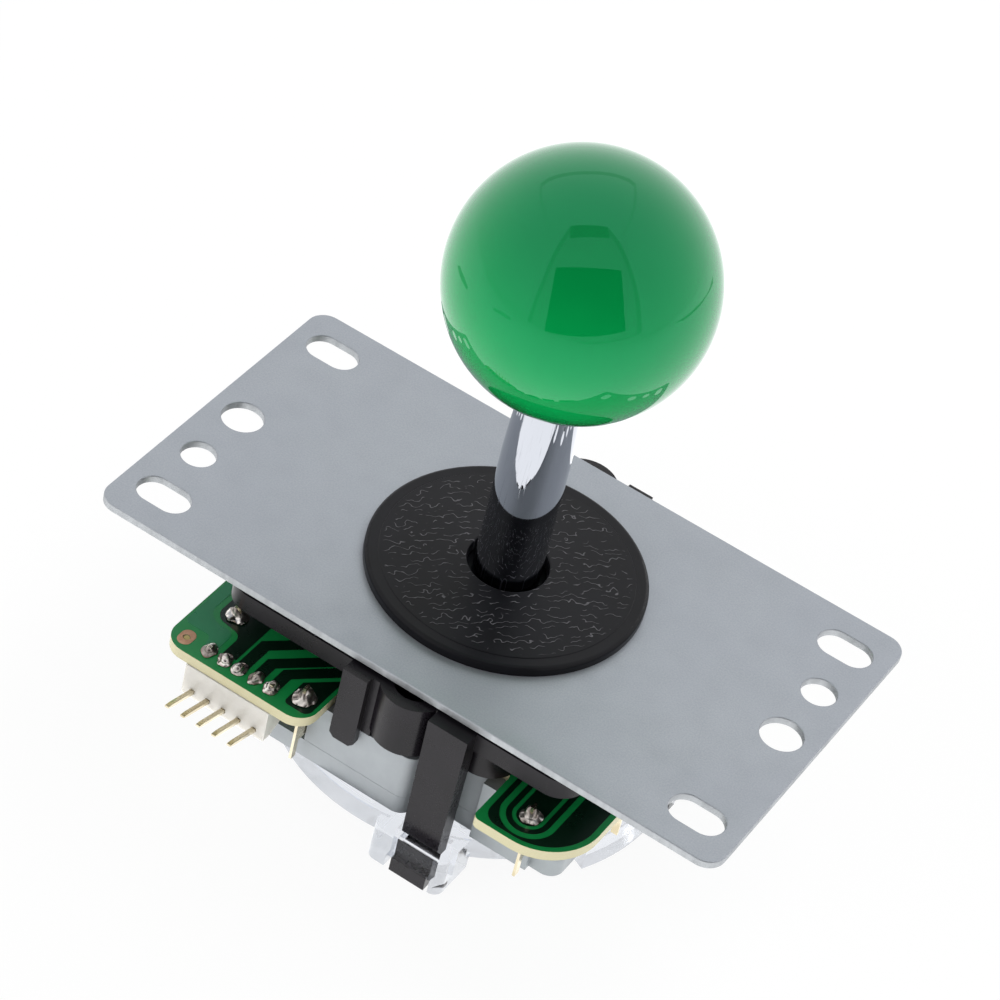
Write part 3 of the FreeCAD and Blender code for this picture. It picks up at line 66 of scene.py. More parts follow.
# Places and sizes that finishes and pieces share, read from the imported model
BOARD_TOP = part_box("circuit_board")[1].z
WASHER_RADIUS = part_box("dust_washer")[1].x
BALL_LOW, BALL_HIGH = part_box("ball_top")
BALL_RADIUS = (BALL_HIGH.x - BALL_LOW.x) / 2
BALL_CENTRE_HEIGHT = BALL_HIGH.z - BALL_RADIUS
BALL_MOUTH = BALL_LOW.z
FEET_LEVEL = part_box("housing")[0].z


# Modelling helpers, with angles in degrees

SHARP_ANGLE = 32
FLAT_ANGLE = 0.5
NODE_MERGE_GAP = 0.001 * MM


def deselect_all():
    """Leave edit mode and drop every selection."""
    if bpy.context.object and bpy.context.object.mode != "OBJECT":
        bpy.ops.object.mode_set(mode="OBJECT")
    bpy.ops.object.select_all(action="DESELECT")


def pick(piece):
    """Make one piece the only selected and active object."""
    deselect_all()
    piece.hide_viewport = False
    piece.select_set(True)
    bpy.context.view_layer.objects.active = piece


def edit(piece, mode="VERT"):
    """Open a piece in edit mode with nothing selected."""
    pick(piece)
    bpy.ops.object.mode_set(mode="EDIT")
    bpy.ops.mesh.select_mode(type=mode)
    bpy.ops.mesh.select_all(action="DESELECT")


def choose(piece, parts, test):
    """Select the vertices or polygons of an open piece that pass a test."""
    bpy.ops.object.mode_set(mode="OBJECT")
    for part in getattr(piece.data, parts):
        part.select = test(part)
    bpy.ops.object.mode_set(mode="EDIT")


def close_edit(piece):
    """Point the faces outwards and go back to object mode."""
    bpy.ops.mesh.select_all(action="SELECT")
    bpy.ops.mesh.normals_make_consistent(inside=False)
    bpy.ops.object.mode_set(mode="OBJECT")
    return piece


def name_piece(name):
    """Name the object that an operator has just added."""
    piece = bpy.context.active_object
    piece.name = name
    piece.data.name = name
    return piece


def apply_modifiers(piece):
    """Apply every modifier of a piece, in order."""
    pick(piece)
    for modifier in list(piece.modifiers):
        bpy.ops.object.modifier_apply(modifier=modifier.name)


def smooth(piece, angle):
    """Shade a piece smooth across its gentle edges."""
    pick(piece)
    bpy.ops.object.shade_smooth_by_angle(angle=math.radians(angle))


def settle(piece):
    """Move a piece's place, turn and size into its mesh."""
    pick(piece)
    bpy.ops.object.transform_apply(location=True, rotation=True, scale=True)


def finish_piece(piece, finish, body, slot, *nodes):
    """Give a piece its material and body, and hide the CAD nodes that it stands in for; slot is not used."""
    piece.data.materials.clear()
    piece.data.materials.append(finish)
    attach(piece, body)
    if nodes:
        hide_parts(*nodes)


def bevel_edges(piece, width, segments, angle):
    """Put a bevel on a piece's edges that turn by more than an angle."""
    bevel = piece.modifiers.new("BrokenEdges", "BEVEL")
    bevel.width = width
    bevel.segments = segments
    bevel.limit_method = "ANGLE"
    bevel.angle_limit = math.radians(angle)
    return bevel


def softened_node(node_name, width):
    """Copy a CAD node, merge its loose triangles into clean faces and break its sharp edges."""
    pick(NODES[node_name])
    bpy.ops.object.duplicate()
    piece = name_piece(node_name + "_moulded")
    del piece["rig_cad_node"]
    bpy.ops.mesh.customdata_custom_splitnormals_clear()
    edit(piece)
    bpy.ops.mesh.select_all(action="SELECT")
    bpy.ops.mesh.remove_doubles(threshold=NODE_MERGE_GAP)
    bpy.ops.mesh.dissolve_limited(angle_limit=math.radians(FLAT_ANGLE))
    close_edit(piece)
    smooth(piece, SHARP_ANGLE)
    bevel = bevel_edges(piece, width, segments=2, angle=SHARP_ANGLE)
    bevel.harden_normals = True
    bevel.use_clamp_overlap = True
    apply_modifiers(piece)
    return piece


def turned_piece(name, profile, segments):
    """Turn a closed round bar from (radius, height) pairs, ring by ring from the bottom."""
    radius, height = profile[0]
    deselect_all()
    bpy.ops.mesh.primitive_circle_add(vertices=segments, radius=radius, fill_type="NGON",
                                      location=(0, 0, height))
    piece = name_piece(name)
    settle(piece)
    edit(piece, "FACE")
    bpy.ops.mesh.select_all(action="SELECT")
    for next_radius, next_height in profile[1:]:
        bpy.ops.mesh.extrude_region_move(TRANSFORM_OT_translate={"value": (0, 0, next_height - height)})
        ratio = next_radius / radius
        bpy.ops.transform.resize(value=(ratio, ratio, 1), center_override=(0, 0, next_height))
        radius, height = next_radius, next_height
    return close_edit(piece)


# Shader trees, and effects that finishes share: each effect puts out only colours, masks and values

VECTOR = "NodeSocketVector"
NUMBER = "NodeSocketFloat"
COLOUR = "NodeSocketColor"
WHITE = (1, 1, 1, 1)

# A Mix node's colour sockets go by number, because its other kinds of socket have the same names
MIX_SHARE = 0
MIX_FIRST = 6
MIX_SECOND = 7
MIX_RESULT = 2


class Tree:
    """A node tree with short calls to add and join nodes."""

    def __init__(self, tree):
        self.nodes = tree.nodes
        self.links = tree.links

    def fill(self, node, sockets):
        """Give a node's sockets their values or links."""
        for label, value in sockets.items():
            if isinstance(value, bpy.types.NodeSocket):
                self.links.new(value, node.inputs[label])
            else:
                node.inputs[label].default_value = value
        return node

    def add(self, kind, sockets=None, **settings):
        """Add a node with its settings and the values or links of its sockets."""
        node = self.nodes.new(kind)
        for label, value in settings.items():
            setattr(node, label, value)
        return self.fill(node, sockets or {})

    def math(self, operation, first, second=0.0, clamp=False):
        """A Math node's result."""
        return self.add("ShaderNodeMath", {0: first, 1: second}, operation=operation,
                        use_clamp=clamp).outputs[0]

    def vector_math(self, operation, *values):
        """A Vector Math node's results, by their labels."""
        return self.add("ShaderNodeVectorMath", dict(enumerate(values)), operation=operation).outputs

    def blend(self, share, first, second):
        """A colour between two colours."""
        return self.add("ShaderNodeMix", {MIX_SHARE: share, MIX_FIRST: first, MIX_SECOND: second},
                        data_type="RGBA").outputs[MIX_RESULT]

    def steps(self, value, low, high, reach=(0.0, 1.0)):
        """A value stretched between two limits and kept inside its reach."""
        return self.add("ShaderNodeMapRange", {"Value": value, "From Min": low, "From Max": high,
                                               "To Min": reach[0], "To Max": reach[1]}).outputs["Result"]

    def noise(self, vector, scale, detail, **more):
        """A cloudy noise."""
        sockets = {"Vector": vector, "Scale": scale, "Detail": detail, **more}
        return self.add("ShaderNodeTexNoise", sockets).outputs["Fac"]


def new_group(name, inputs, outputs):
    """Start a shader group: the group, its tree, its given values by label, and its end node."""
    group = bpy.data.node_groups.new(name, "ShaderNodeTree")
    for label, kind, value in inputs:
        socket = group.interface.new_socket(name=label, in_out="INPUT", socket_type=kind)
        if value is not None:
            socket.default_value = value
    for label, kind in outputs:
        group.interface.new_socket(name=label, in_out="OUTPUT", socket_type=kind)
    given = group.nodes.new("NodeGroupInput").outputs
    return group, Tree(group), given, group.nodes.new("NodeGroupOutput")


def make_mottle():
    """Soft cloudy change between two colours."""
    group, tree, given, end = new_group("Mottle", [
        ("Vector", VECTOR, None), ("Scale", NUMBER, 100.0), ("Light", COLOUR, None),
        ("Dark", COLOUR, None)], [("Color", COLOUR)])
    cloud = tree.noise(given["Vector"], given["Scale"], detail=5.0, Roughness=0.6)
    share = tree.steps(cloud, low=0.35, high=0.65)
    tree.fill(end, {"Color": tree.blend(share, given["Dark"], given["Light"])})
    return group


def make_grain():
    """Fine even grain, as a height and as a roughness."""
    group, tree, given, end = new_group("Grain", [
        ("Vector", VECTOR, None), ("Scale", NUMBER, 4000.0), ("Smooth", NUMBER, 0.3),
        ("Rough", NUMBER, 0.5)], [("Height", NUMBER), ("Roughness", NUMBER)])
    grit = tree.noise(given["Vector"], given["Scale"], detail=3.0, Roughness=0.65)
    broad = tree.noise(given["Vector"], scale=260.0, detail=2.0)
    both = tree.math("MULTIPLY", tree.math("ADD", grit, broad), 0.5)
    rough = tree.steps(both, low=0.35, high=0.65, reach=(given["Smooth"], given["Rough"]))
    tree.fill(end, {"Height": grit, "Roughness": rough})
    return group


def make_side_mask():
    """One on faces that stand upright, nought on faces that lie flat."""
    group, tree, given, end = new_group("Side walls", [("Normal", VECTOR, None)], [("Mask", NUMBER)])
    parts = tree.add("ShaderNodeSeparateXYZ", {"Vector": given["Normal"]})
    flat = tree.math("ABSOLUTE", parts.outputs["Z"])
    tree.fill(end, {"Mask": tree.steps(flat, low=0.75, high=0.35)})
    return group


def make_hairlines():
    """Sparse fine scratches along one direction."""
    group, tree, given, end = new_group("Hairlines", [
        ("Vector", VECTOR, None), ("Scale", NUMBER, 300.0), ("Amount", NUMBER, 0.5)], [("Mask", NUMBER)])
    lines = tree.noise(given["Vector"], given["Scale"], detail=2.0, Roughness=0.7)
    mask = tree.steps(lines, low=0.58, high=0.72)
    tree.fill(end, {"Mask": tree.math("MULTIPLY", mask, given["Amount"])})
    return group


# The worm lines mostly run one way, turned by this angle on the plan; where the washer paints them pale,
# they are painted highlights.
WORM_TURN = math.radians(43.7)


def make_worms():
    """Thin broken wandering lines that mostly run one way, as the ridges of leather-grained plastic; the
    washer uses them as bumps, as painted highlights and, shifted, as painted shadows.
    """
    group, tree, given, end = new_group("Worm lines", [
        ("Vector", VECTOR, None), ("Scale", NUMBER, 270.0), ("Fine", NUMBER, 0.966)], [("Mask", NUMBER)])
    turned = tree.add("ShaderNodeMapping", {"Vector": given["Vector"], "Rotation": (0, 0, WORM_TURN)},
                      vector_type="TEXTURE").outputs[0]
    rows = tree.add("ShaderNodeTexWave", {"Vector": turned, "Scale": given["Scale"], "Distortion": 7.4,
                                          "Detail": 1.0, "Detail Scale": 2.3, "Detail Roughness": 0.5},
                    bands_direction="Y")
    line = tree.steps(rows.outputs["Fac"], low=given["Fine"], high=0.995)
    gaps = tree.add("ShaderNodeTexNoise", {"Vector": turned, "Scale": 500.0, "Detail": 1.0},
                    noise_dimensions="2D")
    kept = tree.steps(gaps.outputs["Fac"], low=0.44, high=0.5)
    tree.fill(end, {"Mask": tree.math("MULTIPLY", line, kept)})
    return group


MOTTLE = make_mottle()
GRAIN = make_grain()
SIDE_MASK = make_side_mask()
HAIRLINES = make_hairlines()
WORMS = make_worms()


def colour(red, green, blue):
    """A colour given as it shows on screen, from 0 to 255, made ready for the shader."""
    made = []
    for part in (red, green, blue):
        share = part / 255
        made.append(share / 12.92 if share <= 0.04045 else ((share + 0.055) / 1.055) ** 2.4)
    return (*made, 1.0)


def new_material(name):
    """A material whose tree is still empty."""
    material = bpy.data.materials.new(name)
    material.use_nodes = True
    material.node_tree.nodes.clear()
    return material


class Finish(Tree):
    """A material being mixed: its tree, its Principled shader and the surface's own coordinates."""

    def __init__(self, name, **constants):
        self.material = new_material(name)
        super().__init__(self.material.node_tree)
        self.shader = self.add("ShaderNodeBsdfPrincipled", {
            label.replace("_", " "): value for label, value in constants.items()})
        self.add("ShaderNodeOutputMaterial", {"Surface": self.shader.outputs["BSDF"]})
        self.place = self.add("ShaderNodeTexCoord")
        self.where = self.place.outputs["Object"]

    def stretched(self, across, along, up):
        """The coordinates scaled by a different amount each way."""
        return self.add("ShaderNodeMapping", {"Vector": self.where, "Scale": (across, along, up)}).outputs[0]

    def effect(self, group, sockets):
        """Place a shared effect with its own values."""
        return self.add("ShaderNodeGroup", sockets, node_tree=group)

    def feed(self, label, socket):
        """Join a result to one of the shader's sockets."""
        self.links.new(socket, self.shader.inputs[label])

    def sides(self):
        """Mask of the upright faces, by the surface's own directions."""
        return self.effect(SIDE_MASK, {"Normal": self.place.outputs["Normal"]}).outputs["Mask"]

    def mottled(self, scale, light, dark, vector=None):
        """A cloudy colour between a light and a dark one."""
        return self.effect(MOTTLE, {"Vector": vector or self.where, "Scale": scale, "Light": colour(*light),
                                    "Dark": colour(*dark)}).outputs["Color"]

    def bumps(self, height, depth, strength, below=None):
        """A normal from a height whose depth is in millimetres, over another normal if one is given."""
        sockets = {"Height": height, "Distance": depth * MM, "Strength": strength}
        if below:
            sockets["Normal"] = below
        return self.add("ShaderNodeBump", sockets).outputs["Normal"]

    def grain(self, scale, roughness, vector=None):
        """Feed a grain's (smoothest, roughest) roughness to the shader, and give the grain's height."""
        grain = self.effect(GRAIN, {"Vector": vector or self.where, "Scale": scale, "Smooth": roughness[0],
                                    "Rough": roughness[1]})
        self.feed("Roughness", grain.outputs["Roughness"])
        return grain.outputs["Height"]

    def grained(self, scale, roughness, depth, strength=0.5, vector=None):
        """Give the surface a grain that can be seen and felt."""
        height = self.grain(scale, roughness, vector)
        self.feed("Normal", self.bumps(height, depth, strength))


# Finishes

WASHER_BAND = 2.3 * MM
WASHER_BAND_FADE = 0.3 * MM
WORM_SHADE_SHIFT = (-0.13 * MM, 0.13 * MM, 0)
WORM_SHADE_FINE = 0.95
WORM_SHADE_DARKNESS = 0.8
POLISHED_ROUGHNESS = 0.025
FLUX_END = 0.3 * MM
FLUX_FULL = 0.04 * MM


def plate_finish():
    """Satin bluish sheet steel with bare sheared edges."""
    finish = Finish("satin_sheet_steel", Metallic=0.55, Specular_IOR_Level=0.15,
                    Specular_Tint=(0.42, 0.43, 0.45, 1))
    face = finish.mottled(40.0, (161, 165, 171), (158, 162, 169))
    speck = finish.noise(finish.where, scale=4200.0, detail=2.0)
    speck = finish.steps(speck, low=0.35, high=0.65, reach=(0.0, 0.5))
    speckled = finish.blend(speck, face, colour(147, 152, 160))
    sheared = finish.noise(finish.stretched(900, 900, 160), scale=1.0, detail=3.0)
    cut = finish.blend(sheared, colour(140, 143, 146), colour(186, 189, 192))
    finish.feed("Base Color", finish.blend(finish.sides(), speckled, cut))
    finish.grained(4200.0, (0.38, 0.52), depth=0.004)
    return finish.material


def washer_finish():
    """Black plastic with wormy leather grain inside a smooth band: the grain's ridges are bumps and painted
    highlights, with painted shadows beside them.
    """
    finish = Finish("leather_grain_black", Specular_IOR_Level=0.12)
    spread = finish.vector_math("MULTIPLY", finish.where, (1, 1, 0))["Vector"]
    radius = finish.vector_math("LENGTH", spread)["Value"]
    band_edge = WASHER_RADIUS - WASHER_BAND
    inside = finish.steps(radius, low=band_edge, high=band_edge - WASHER_BAND_FADE)
    # The ridge mask gives the bump and also a pale colour on each ridge, which is a painted highlight.
    ridge_and_painted_highlight = finish.effect(WORMS, {"Vector": spread}).outputs["Mask"]
    ridge_and_painted_highlight = finish.math("MULTIPLY", ridge_and_painted_highlight, inside)
    # A copy of the lines shifted to one side darkens the colour beside each ridge: painted shadow.
    behind = finish.vector_math("ADD", spread, WORM_SHADE_SHIFT)["Vector"]
    shade = finish.effect(WORMS, {"Vector": behind, "Fine": WORM_SHADE_FINE}).outputs["Mask"]
    shade = finish.math("MULTIPLY", shade, inside)
    fine = finish.bumps(finish.grain(2600.0, (0.3, 0.42)), depth=0.008, strength=0.5)
    finish.feed("Normal", finish.bumps(ridge_and_painted_highlight, depth=0.05, strength=0.6, below=fine))
    flat = finish.mottled(130.0, (24, 24, 28), (19, 19, 22))
    # Painted shadow beside the ridges, then the pale painted highlight on them.
    shaded = finish.blend(finish.math("MULTIPLY", shade, WORM_SHADE_DARKNESS), flat, colour(6, 6, 7))
    finish.feed("Base Color", finish.blend(ridge_and_painted_highlight, shaded, colour(100, 98, 103)))
    return finish.material


def ball_finish():
    """Deep green glossy resin."""
    finish = Finish("gloss_green_resin", Roughness=0.02, Specular_IOR_Level=0.56, IOR=1.5,
                    Specular_Tint=(0.32, 1.0, 0.88, 1))
    finish.feed("Base Color", finish.mottled(38.0, (5, 131, 63), (3, 126, 60)))
    ripple = finish.noise(finish.where, scale=90.0, detail=1.0)
    finish.feed("Normal", finish.bumps(ripple, depth=0.006, strength=0.2))
    return finish.material


def chrome_finish():
    """Polished chrome with faint lengthwise wear."""
    finish = Finish("polished_chrome", Metallic=1.0)
    wear = finish.effect(HAIRLINES, {"Vector": finish.stretched(3200, 3200, 120), "Scale": 1.0,
                                     "Amount": 0.16}).outputs["Mask"]
    finish.feed("Base Color", finish.blend(wear, colour(186, 189, 196), colour(146, 149, 156)))
    finish.feed("Roughness", finish.math("ADD", wear, POLISHED_ROUGHNESS))
    finish.feed("Normal", finish.bumps(wear, depth=0.002, strength=0.4))
    return finish.material


def moulded_finish(name, light, dark, roughness, shine=0.5, grain_scale=1900.0, depth=0.010):
    """Injection-moulded plastic with a fine spark-eroded grain."""
    finish = Finish(name, Specular_IOR_Level=shine)
    finish.feed("Base Color", finish.mottled(140.0, light, dark))
    finish.grained(grain_scale, roughness, depth)
    return finish.material


def board_finish():
    """Green mask on both faces of a cream glass-fibre board."""
    finish = Finish("masked_board", Coat_Weight=0.3, Coat_Roughness=0.14)
    mask = finish.mottled(190.0, (22, 146, 74), (17, 139, 69))
    layers = finish.add("ShaderNodeTexWave", {"Vector": finish.where, "Scale": 1500.0, "Distortion": 3.0,
                                              "Detail": 3.0, "Detail Scale": 2.0}, bands_direction="Z")
    fibre = finish.blend(layers.outputs["Fac"], colour(168, 162, 126), colour(184, 178, 146))
    walls = finish.sides()
    finish.feed("Base Color", finish.blend(walls, mask, fibre))
    finish.feed("Roughness", finish.steps(walls, low=0.0, high=1.0, reach=(0.28, 0.75)))
    weave = finish.noise(finish.where, scale=1100.0, detail=2.0)
    finish.feed("Normal", finish.bumps(weave, depth=0.01, strength=0.35))
    return finish.material


def trace_finish(name, light, dark):
    """Green mask over copper, in the two colours given; the near-black over the tracks carries painted shade
    and the pale green over the pour carries a painted reflection.
    """
    finish = Finish(name, Coat_Weight=0.3, Coat_Roughness=0.1, Metallic=0.15)
    finish.feed("Base Color", finish.mottled(230.0, light, dark))
    finish.grained(700.0, (0.27, 0.31), depth=0.004, strength=0.2)
    return finish.material


def metal_finish(name, light, dark, roughness, stretch=(600, 600, 600), depth=0.008):
    """Bare metal whose wear runs as its coordinates are stretched."""
    finish = Finish(name, Metallic=1.0)
    where = finish.stretched(*stretch)
    finish.feed("Base Color", finish.mottled(1.0, light, dark, where))
    finish.grained(6.0, roughness, depth, vector=where)
    return finish.material


def solder_finish():
    """Bright lumpy solder, browned by flux where it meets the board; its colour is darker in the hollows of
    its folds and paler on their tops, which is painted shade and painted reflection.
    """
    finish = Finish("lumpy_solder", Metallic=1.0)
    folds = finish.noise(finish.where, scale=560.0, detail=1.6, Roughness=0.55, Distortion=0.6)
    level = finish.add("ShaderNodeSeparateXYZ", {"Vector": finish.where}).outputs["Z"]
    foot = finish.steps(level, low=BOARD_TOP + FLUX_END, high=BOARD_TOP + FLUX_FULL)
    # Painted shade in the fold hollows and painted reflection on their tops, following the same folds as the
    # bumps.
    painted_light_mask = finish.steps(folds, low=0.4, high=0.56)
    painted_light_tone = finish.blend(painted_light_mask, colour(146, 137, 132), colour(226, 220, 215))
    finish.feed("Base Color", finish.blend(foot, painted_light_tone, colour(112, 70, 52)))
    finish.feed("Roughness", finish.steps(folds, low=0.3, high=0.7, reach=(0.38, 0.22)))
    finish.feed("Normal", finish.bumps(folds, depth=0.06, strength=0.5))
    return finish.material


def header_finish():
    """Milky nylon."""
    finish = Finish("milky_nylon", Subsurface_Weight=0.35, Subsurface_Scale=2.0 * MM,
                    Subsurface_Radius=(1.0, 0.95, 0.9), IOR=1.5)
    finish.feed("Base Color", finish.mottled(240.0, (198, 195, 189), (190, 187, 181)))
    finish.grained(1600.0, (0.3, 0.42), depth=0.008, strength=0.4)
    return finish.material


def clear_finish():
    """Clear moulded plastic."""
    finish = Finish("clear_moulding", Transmission_Weight=1.0, IOR=1.22)
    finish.feed("Base Color", finish.mottled(90.0, (240, 242, 247), (230, 234, 240)))
    finish.grain(700.0, (0.02, 0.12))
    flow = finish.noise(finish.where, scale=210.0, detail=1.0)
    finish.feed("Normal", finish.bumps(flow, depth=0.05, strength=0.4))
    return finish.material


FINISHES = {
    "plate_steel": plate_finish(),
    "screw_steel": metal_finish("zinc_screw", (205, 206, 204), (160, 162, 164), (0.25, 0.45)),
    "washer_black": washer_finish(),
    "ball_green": ball_finish(),
    "insert_brass": metal_finish("turned_brass", (226, 190, 112), (190, 150, 80), (0.2, 0.35),
                                 stretch=(200, 200, 4000)),
    "shaft_chrome": chrome_finish(),
    "bearing_plastic": moulded_finish("bearing_black", (38, 38, 42), (33, 33, 37), (0.32, 0.42), shine=0.3,
                                      grain_scale=1100.0, depth=0.003),
    "spring_steel": metal_finish("spring_wire", (210, 210, 208), (165, 166, 168), (0.2, 0.4),
                                 stretch=(900, 900, 300)),
    "actuator_plastic": moulded_finish("actuator_black", (34, 34, 36), (26, 26, 28), (0.3, 0.45)),
    "clip_steel": metal_finish("clip_sheet", (170, 171, 174), (120, 122, 126), (0.3, 0.5)),
    "housing_black": moulded_finish("housing_charcoal", (26, 23, 28), (20, 18, 22), (0.24, 0.36), shine=0.22,
                                    depth=0.004),
    "board_green": board_finish(),
    "header_white": header_finish(),
    "pin_tin": metal_finish("tinned_pin", (224, 216, 192), (196, 184, 154), (0.16, 0.3),
                            stretch=(420, 120, 260), depth=0.004),
    "solder_tin": solder_finish(),
    "switch_grey": moulded_finish("switch_grey", (141, 146, 150), (132, 137, 141), (0.34, 0.5)),
    "button_white": moulded_finish("button_white", (228, 227, 222), (216, 214, 208), (0.3, 0.45)),
    "contact_copper": metal_finish("contact_strip", (214, 150, 104), (170, 110, 74), (0.2, 0.4)),
    "gate_clear": clear_finish(),
}
# Near-black green over the tracks and lobe fields: partly the darker tone of mask over copper and partly
# painted shade from the plate above.
MASK_OVER_COPPER_PAINTED_SHADE = trace_finish("mask_over_copper_painted_shade", (6, 37, 22), (4, 31, 18))
# Pale green over the pour: painted reflection of the white surroundings.
MASK_OVER_POUR_PAINTED_REFLECTION = trace_finish("mask_over_pour_painted_reflection", (40, 140, 90), (35, 132, 84))
BARE_COPPER = metal_finish("bare_copper_pad", (214, 170, 142), (184, 138, 108), (0.3, 0.5))
BARE_FIBRE = moulded_finish("bare_fibre", (206, 186, 124), (188, 166, 104), (0.5, 0.7), shine=0.3)


def dress_cad_nodes():
    """Give every CAD node the finish of its slot in the record."""
    for part in frame["record"]["subparts"]:
        finish = FINISHES[part["material_slot"]]
        node = NODES[part["node"]]
        if not node.material_slots:
            node.data.materials.append(finish)
        for slot in node.material_slots:
            slot.material = finish


# Ball

BALL_SEGMENTS = 160
BALL_RINGS = 96
MOUTH_RIM = 0.25 * MM
LEVEL_SLACK = 0.01 * MM
FACES_DOWN = -0.99


def make_ball():
    """Ball with a finely divided skin, its flat mouth and the pocket for the insert."""
    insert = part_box("ball_insert")[1]
    deselect_all()
    bpy.ops.mesh.primitive_uv_sphere_add(segments=BALL_SEGMENTS, ring_count=BALL_RINGS, radius=BALL_RADIUS,
                                         location=(0, 0, BALL_CENTRE_HEIGHT))
    ball = name_piece("ball_top_turned")
    settle(ball)
    edit(ball)
    bpy.ops.mesh.select_all(action="SELECT")
    bpy.ops.mesh.bisect(plane_co=(0, 0, BALL_MOUTH), plane_no=(0, 0, 1), use_fill=True, clear_inner=True)
    choose(ball, "polygons",
           lambda face: face.normal.z < FACES_DOWN and face.center.z < BALL_MOUTH + LEVEL_SLACK)
    mouth_radius = math.sqrt(BALL_RADIUS ** 2 - (BALL_CENTRE_HEIGHT - BALL_MOUTH) ** 2)
    bpy.ops.mesh.inset(thickness=mouth_radius - insert.x)
    bpy.ops.mesh.extrude_region_move(TRANSFORM_OT_translate={"value": (0, 0, insert.z - BALL_MOUTH)})
    close_edit(ball)
    bevel_edges(ball, MOUTH_RIM, segments=3, angle=40)
    apply_modifiers(ball)
    smooth(ball, angle=35)
    finish_piece(ball, FINISHES["ball_green"], "lever", "ball_green", "ball_top")


# Shaft

SHAFT_SEGMENTS = 128
TAIL_RADIUS = 3.5 * MM
NECK_RADIUS = 4.1 * MM
THREAD_RADIUS = 3.0 * MM
GROOVE_DEPTH = 0.6 * MM
SHAFT_BEVEL = 0.3 * MM
TURNING_STEP = 0.02 * MM
TAPER_LEVEL = 21.0 * MM
TAPER_RINGS = 12
TAPER_BEND = 1.45
DRIVER_SLOT_WIDTH = 1.2 * MM
DRIVER_SLOT_DEPTH = 1.5 * MM


def make_shaft():
    """Chrome shaft with its turned shoulders, snap-ring groove and driver slot."""
    low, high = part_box("shaft")
    body_radius = high.x
    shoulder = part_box("pivot")[1].z
    ring_low, ring_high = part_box("retaining_ring")[0].z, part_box("retaining_ring")[1].z
    groove_radius = TAIL_RADIUS - GROOVE_DEPTH
    profile = [
        (TAIL_RADIUS - SHAFT_BEVEL, low.z), (TAIL_RADIUS, low.z + SHAFT_BEVEL), (TAIL_RADIUS, ring_low),
        (groove_radius, ring_low + TURNING_STEP), (groove_radius, ring_high - TURNING_STEP),
        (TAIL_RADIUS, ring_high), (TAIL_RADIUS, shoulder),
        (body_radius - SHAFT_BEVEL / 3, shoulder + TURNING_STEP),
        (body_radius, shoulder + SHAFT_BEVEL / 3), (body_radius, TAPER_LEVEL)]
    for share in range(1, TAPER_RINGS + 1):
        sunk = (body_radius - NECK_RADIUS) * (share / TAPER_RINGS) ** TAPER_BEND
        rise = (BALL_MOUTH - TURNING_STEP - TAPER_LEVEL) * share / TAPER_RINGS
        profile.append((body_radius - sunk, TAPER_LEVEL + rise))
    profile += [(THREAD_RADIUS, BALL_MOUTH), (THREAD_RADIUS, high.z - SHAFT_BEVEL),
                (THREAD_RADIUS - SHAFT_BEVEL, high.z)]
    shaft = turned_piece("shaft_turned", profile, SHAFT_SEGMENTS)
    deselect_all()
    bpy.ops.mesh.primitive_cube_add(size=1, location=(0, 0, low.z))
    cutter = name_piece("driver_slot_cutter")
    cutter.scale = (DRIVER_SLOT_WIDTH, 4 * body_radius, 2 * DRIVER_SLOT_DEPTH)
    settle(cutter)
    pick(shaft)
    cut = shaft.modifiers.new("DriverSlot", "BOOLEAN")
    cut.object = cutter
    cut.operation = "DIFFERENCE"
    cut.solver = "EXACT"
    apply_modifiers(shaft)
    bpy.data.objects.remove(cutter)
    smooth(shaft, angle=30)
    finish_piece(shaft, FINISHES["shaft_chrome"], "lever", "shaft_chrome", "shaft")


# Moulded and pressed pieces, with the width in millimetres that their edges are broken by

SWITCH_EDGE = 0.13
SOFTENED_NODES = [
    ("mounting_plate", 0.24, "plate_steel"), ("housing", 0.14, "housing_black"),
    ("restrictor_gate", 0.16, "gate_clear"), ("connector_housing", 0.12, "header_white"),
    ("connector_pins", 0.07, "pin_tin")]
for side in SIDES:
    SOFTENED_NODES += [("switch_case_" + side, SWITCH_EDGE, "switch_grey"),
                       ("switch_cover_" + side, SWITCH_EDGE, "switch_grey")]


def make_moulded_copies():
    """Copies of the moulded and pressed nodes with their edges broken."""
    for node_name, width, slot in SOFTENED_NODES:
        piece = softened_node(node_name, width * MM)
        finish_piece(piece, FINISHES[slot], "base", slot, node_name)


# Solder joints: places, half widths, half lengths and heights in millimetres, levels and leans as
# shares of a joint's own size, and the angles by which the lean changes from joint to joint

PIN_ROW_Y = -30.6
PIN_FIRST_X = -25.2
PIN_PITCH = 2.5
PIN_COUNT = 5
PIN_JOINT = (1.1, 1.5, 1.05)
PIN_WAIST = 0.9
LEG_JOINTS = [("common", (-26.15, -22.9), 1.7, 1.62), ("contact", (-10.9, -29.1), 1.65, 2.0)]
LEG_JOINT_HEIGHT = 1.75
LEG_WAIST = 0.84
SKIRT_LEVEL = -0.02
WAIST_LEVELS = (0.3, 0.62)
TIP_LEVEL = 0.85
TIP_WAIST = 0.8
WAIST_REACH = 0.24
LEAN_LEVEL = 0.7
LEAN_REACH = 0.5
LEAN_ACROSS = 0.12
LEAN_ALONG = 0.1
PIN_LEAN_CHANGE = (2.4, 1.7)
LEG_LEAN_CHANGE = (2.1, 1.3)
FOLD_SIZE = 1.1 * MM
FOLD_DEPTH = 0.45 * MM


def quarter_turn(place, turns):
    """Turn a place on the plan round the lever's axis by quarter turns."""
    across, along = place
    for _ in range(turns):
        across, along = -along, across
    return across, along


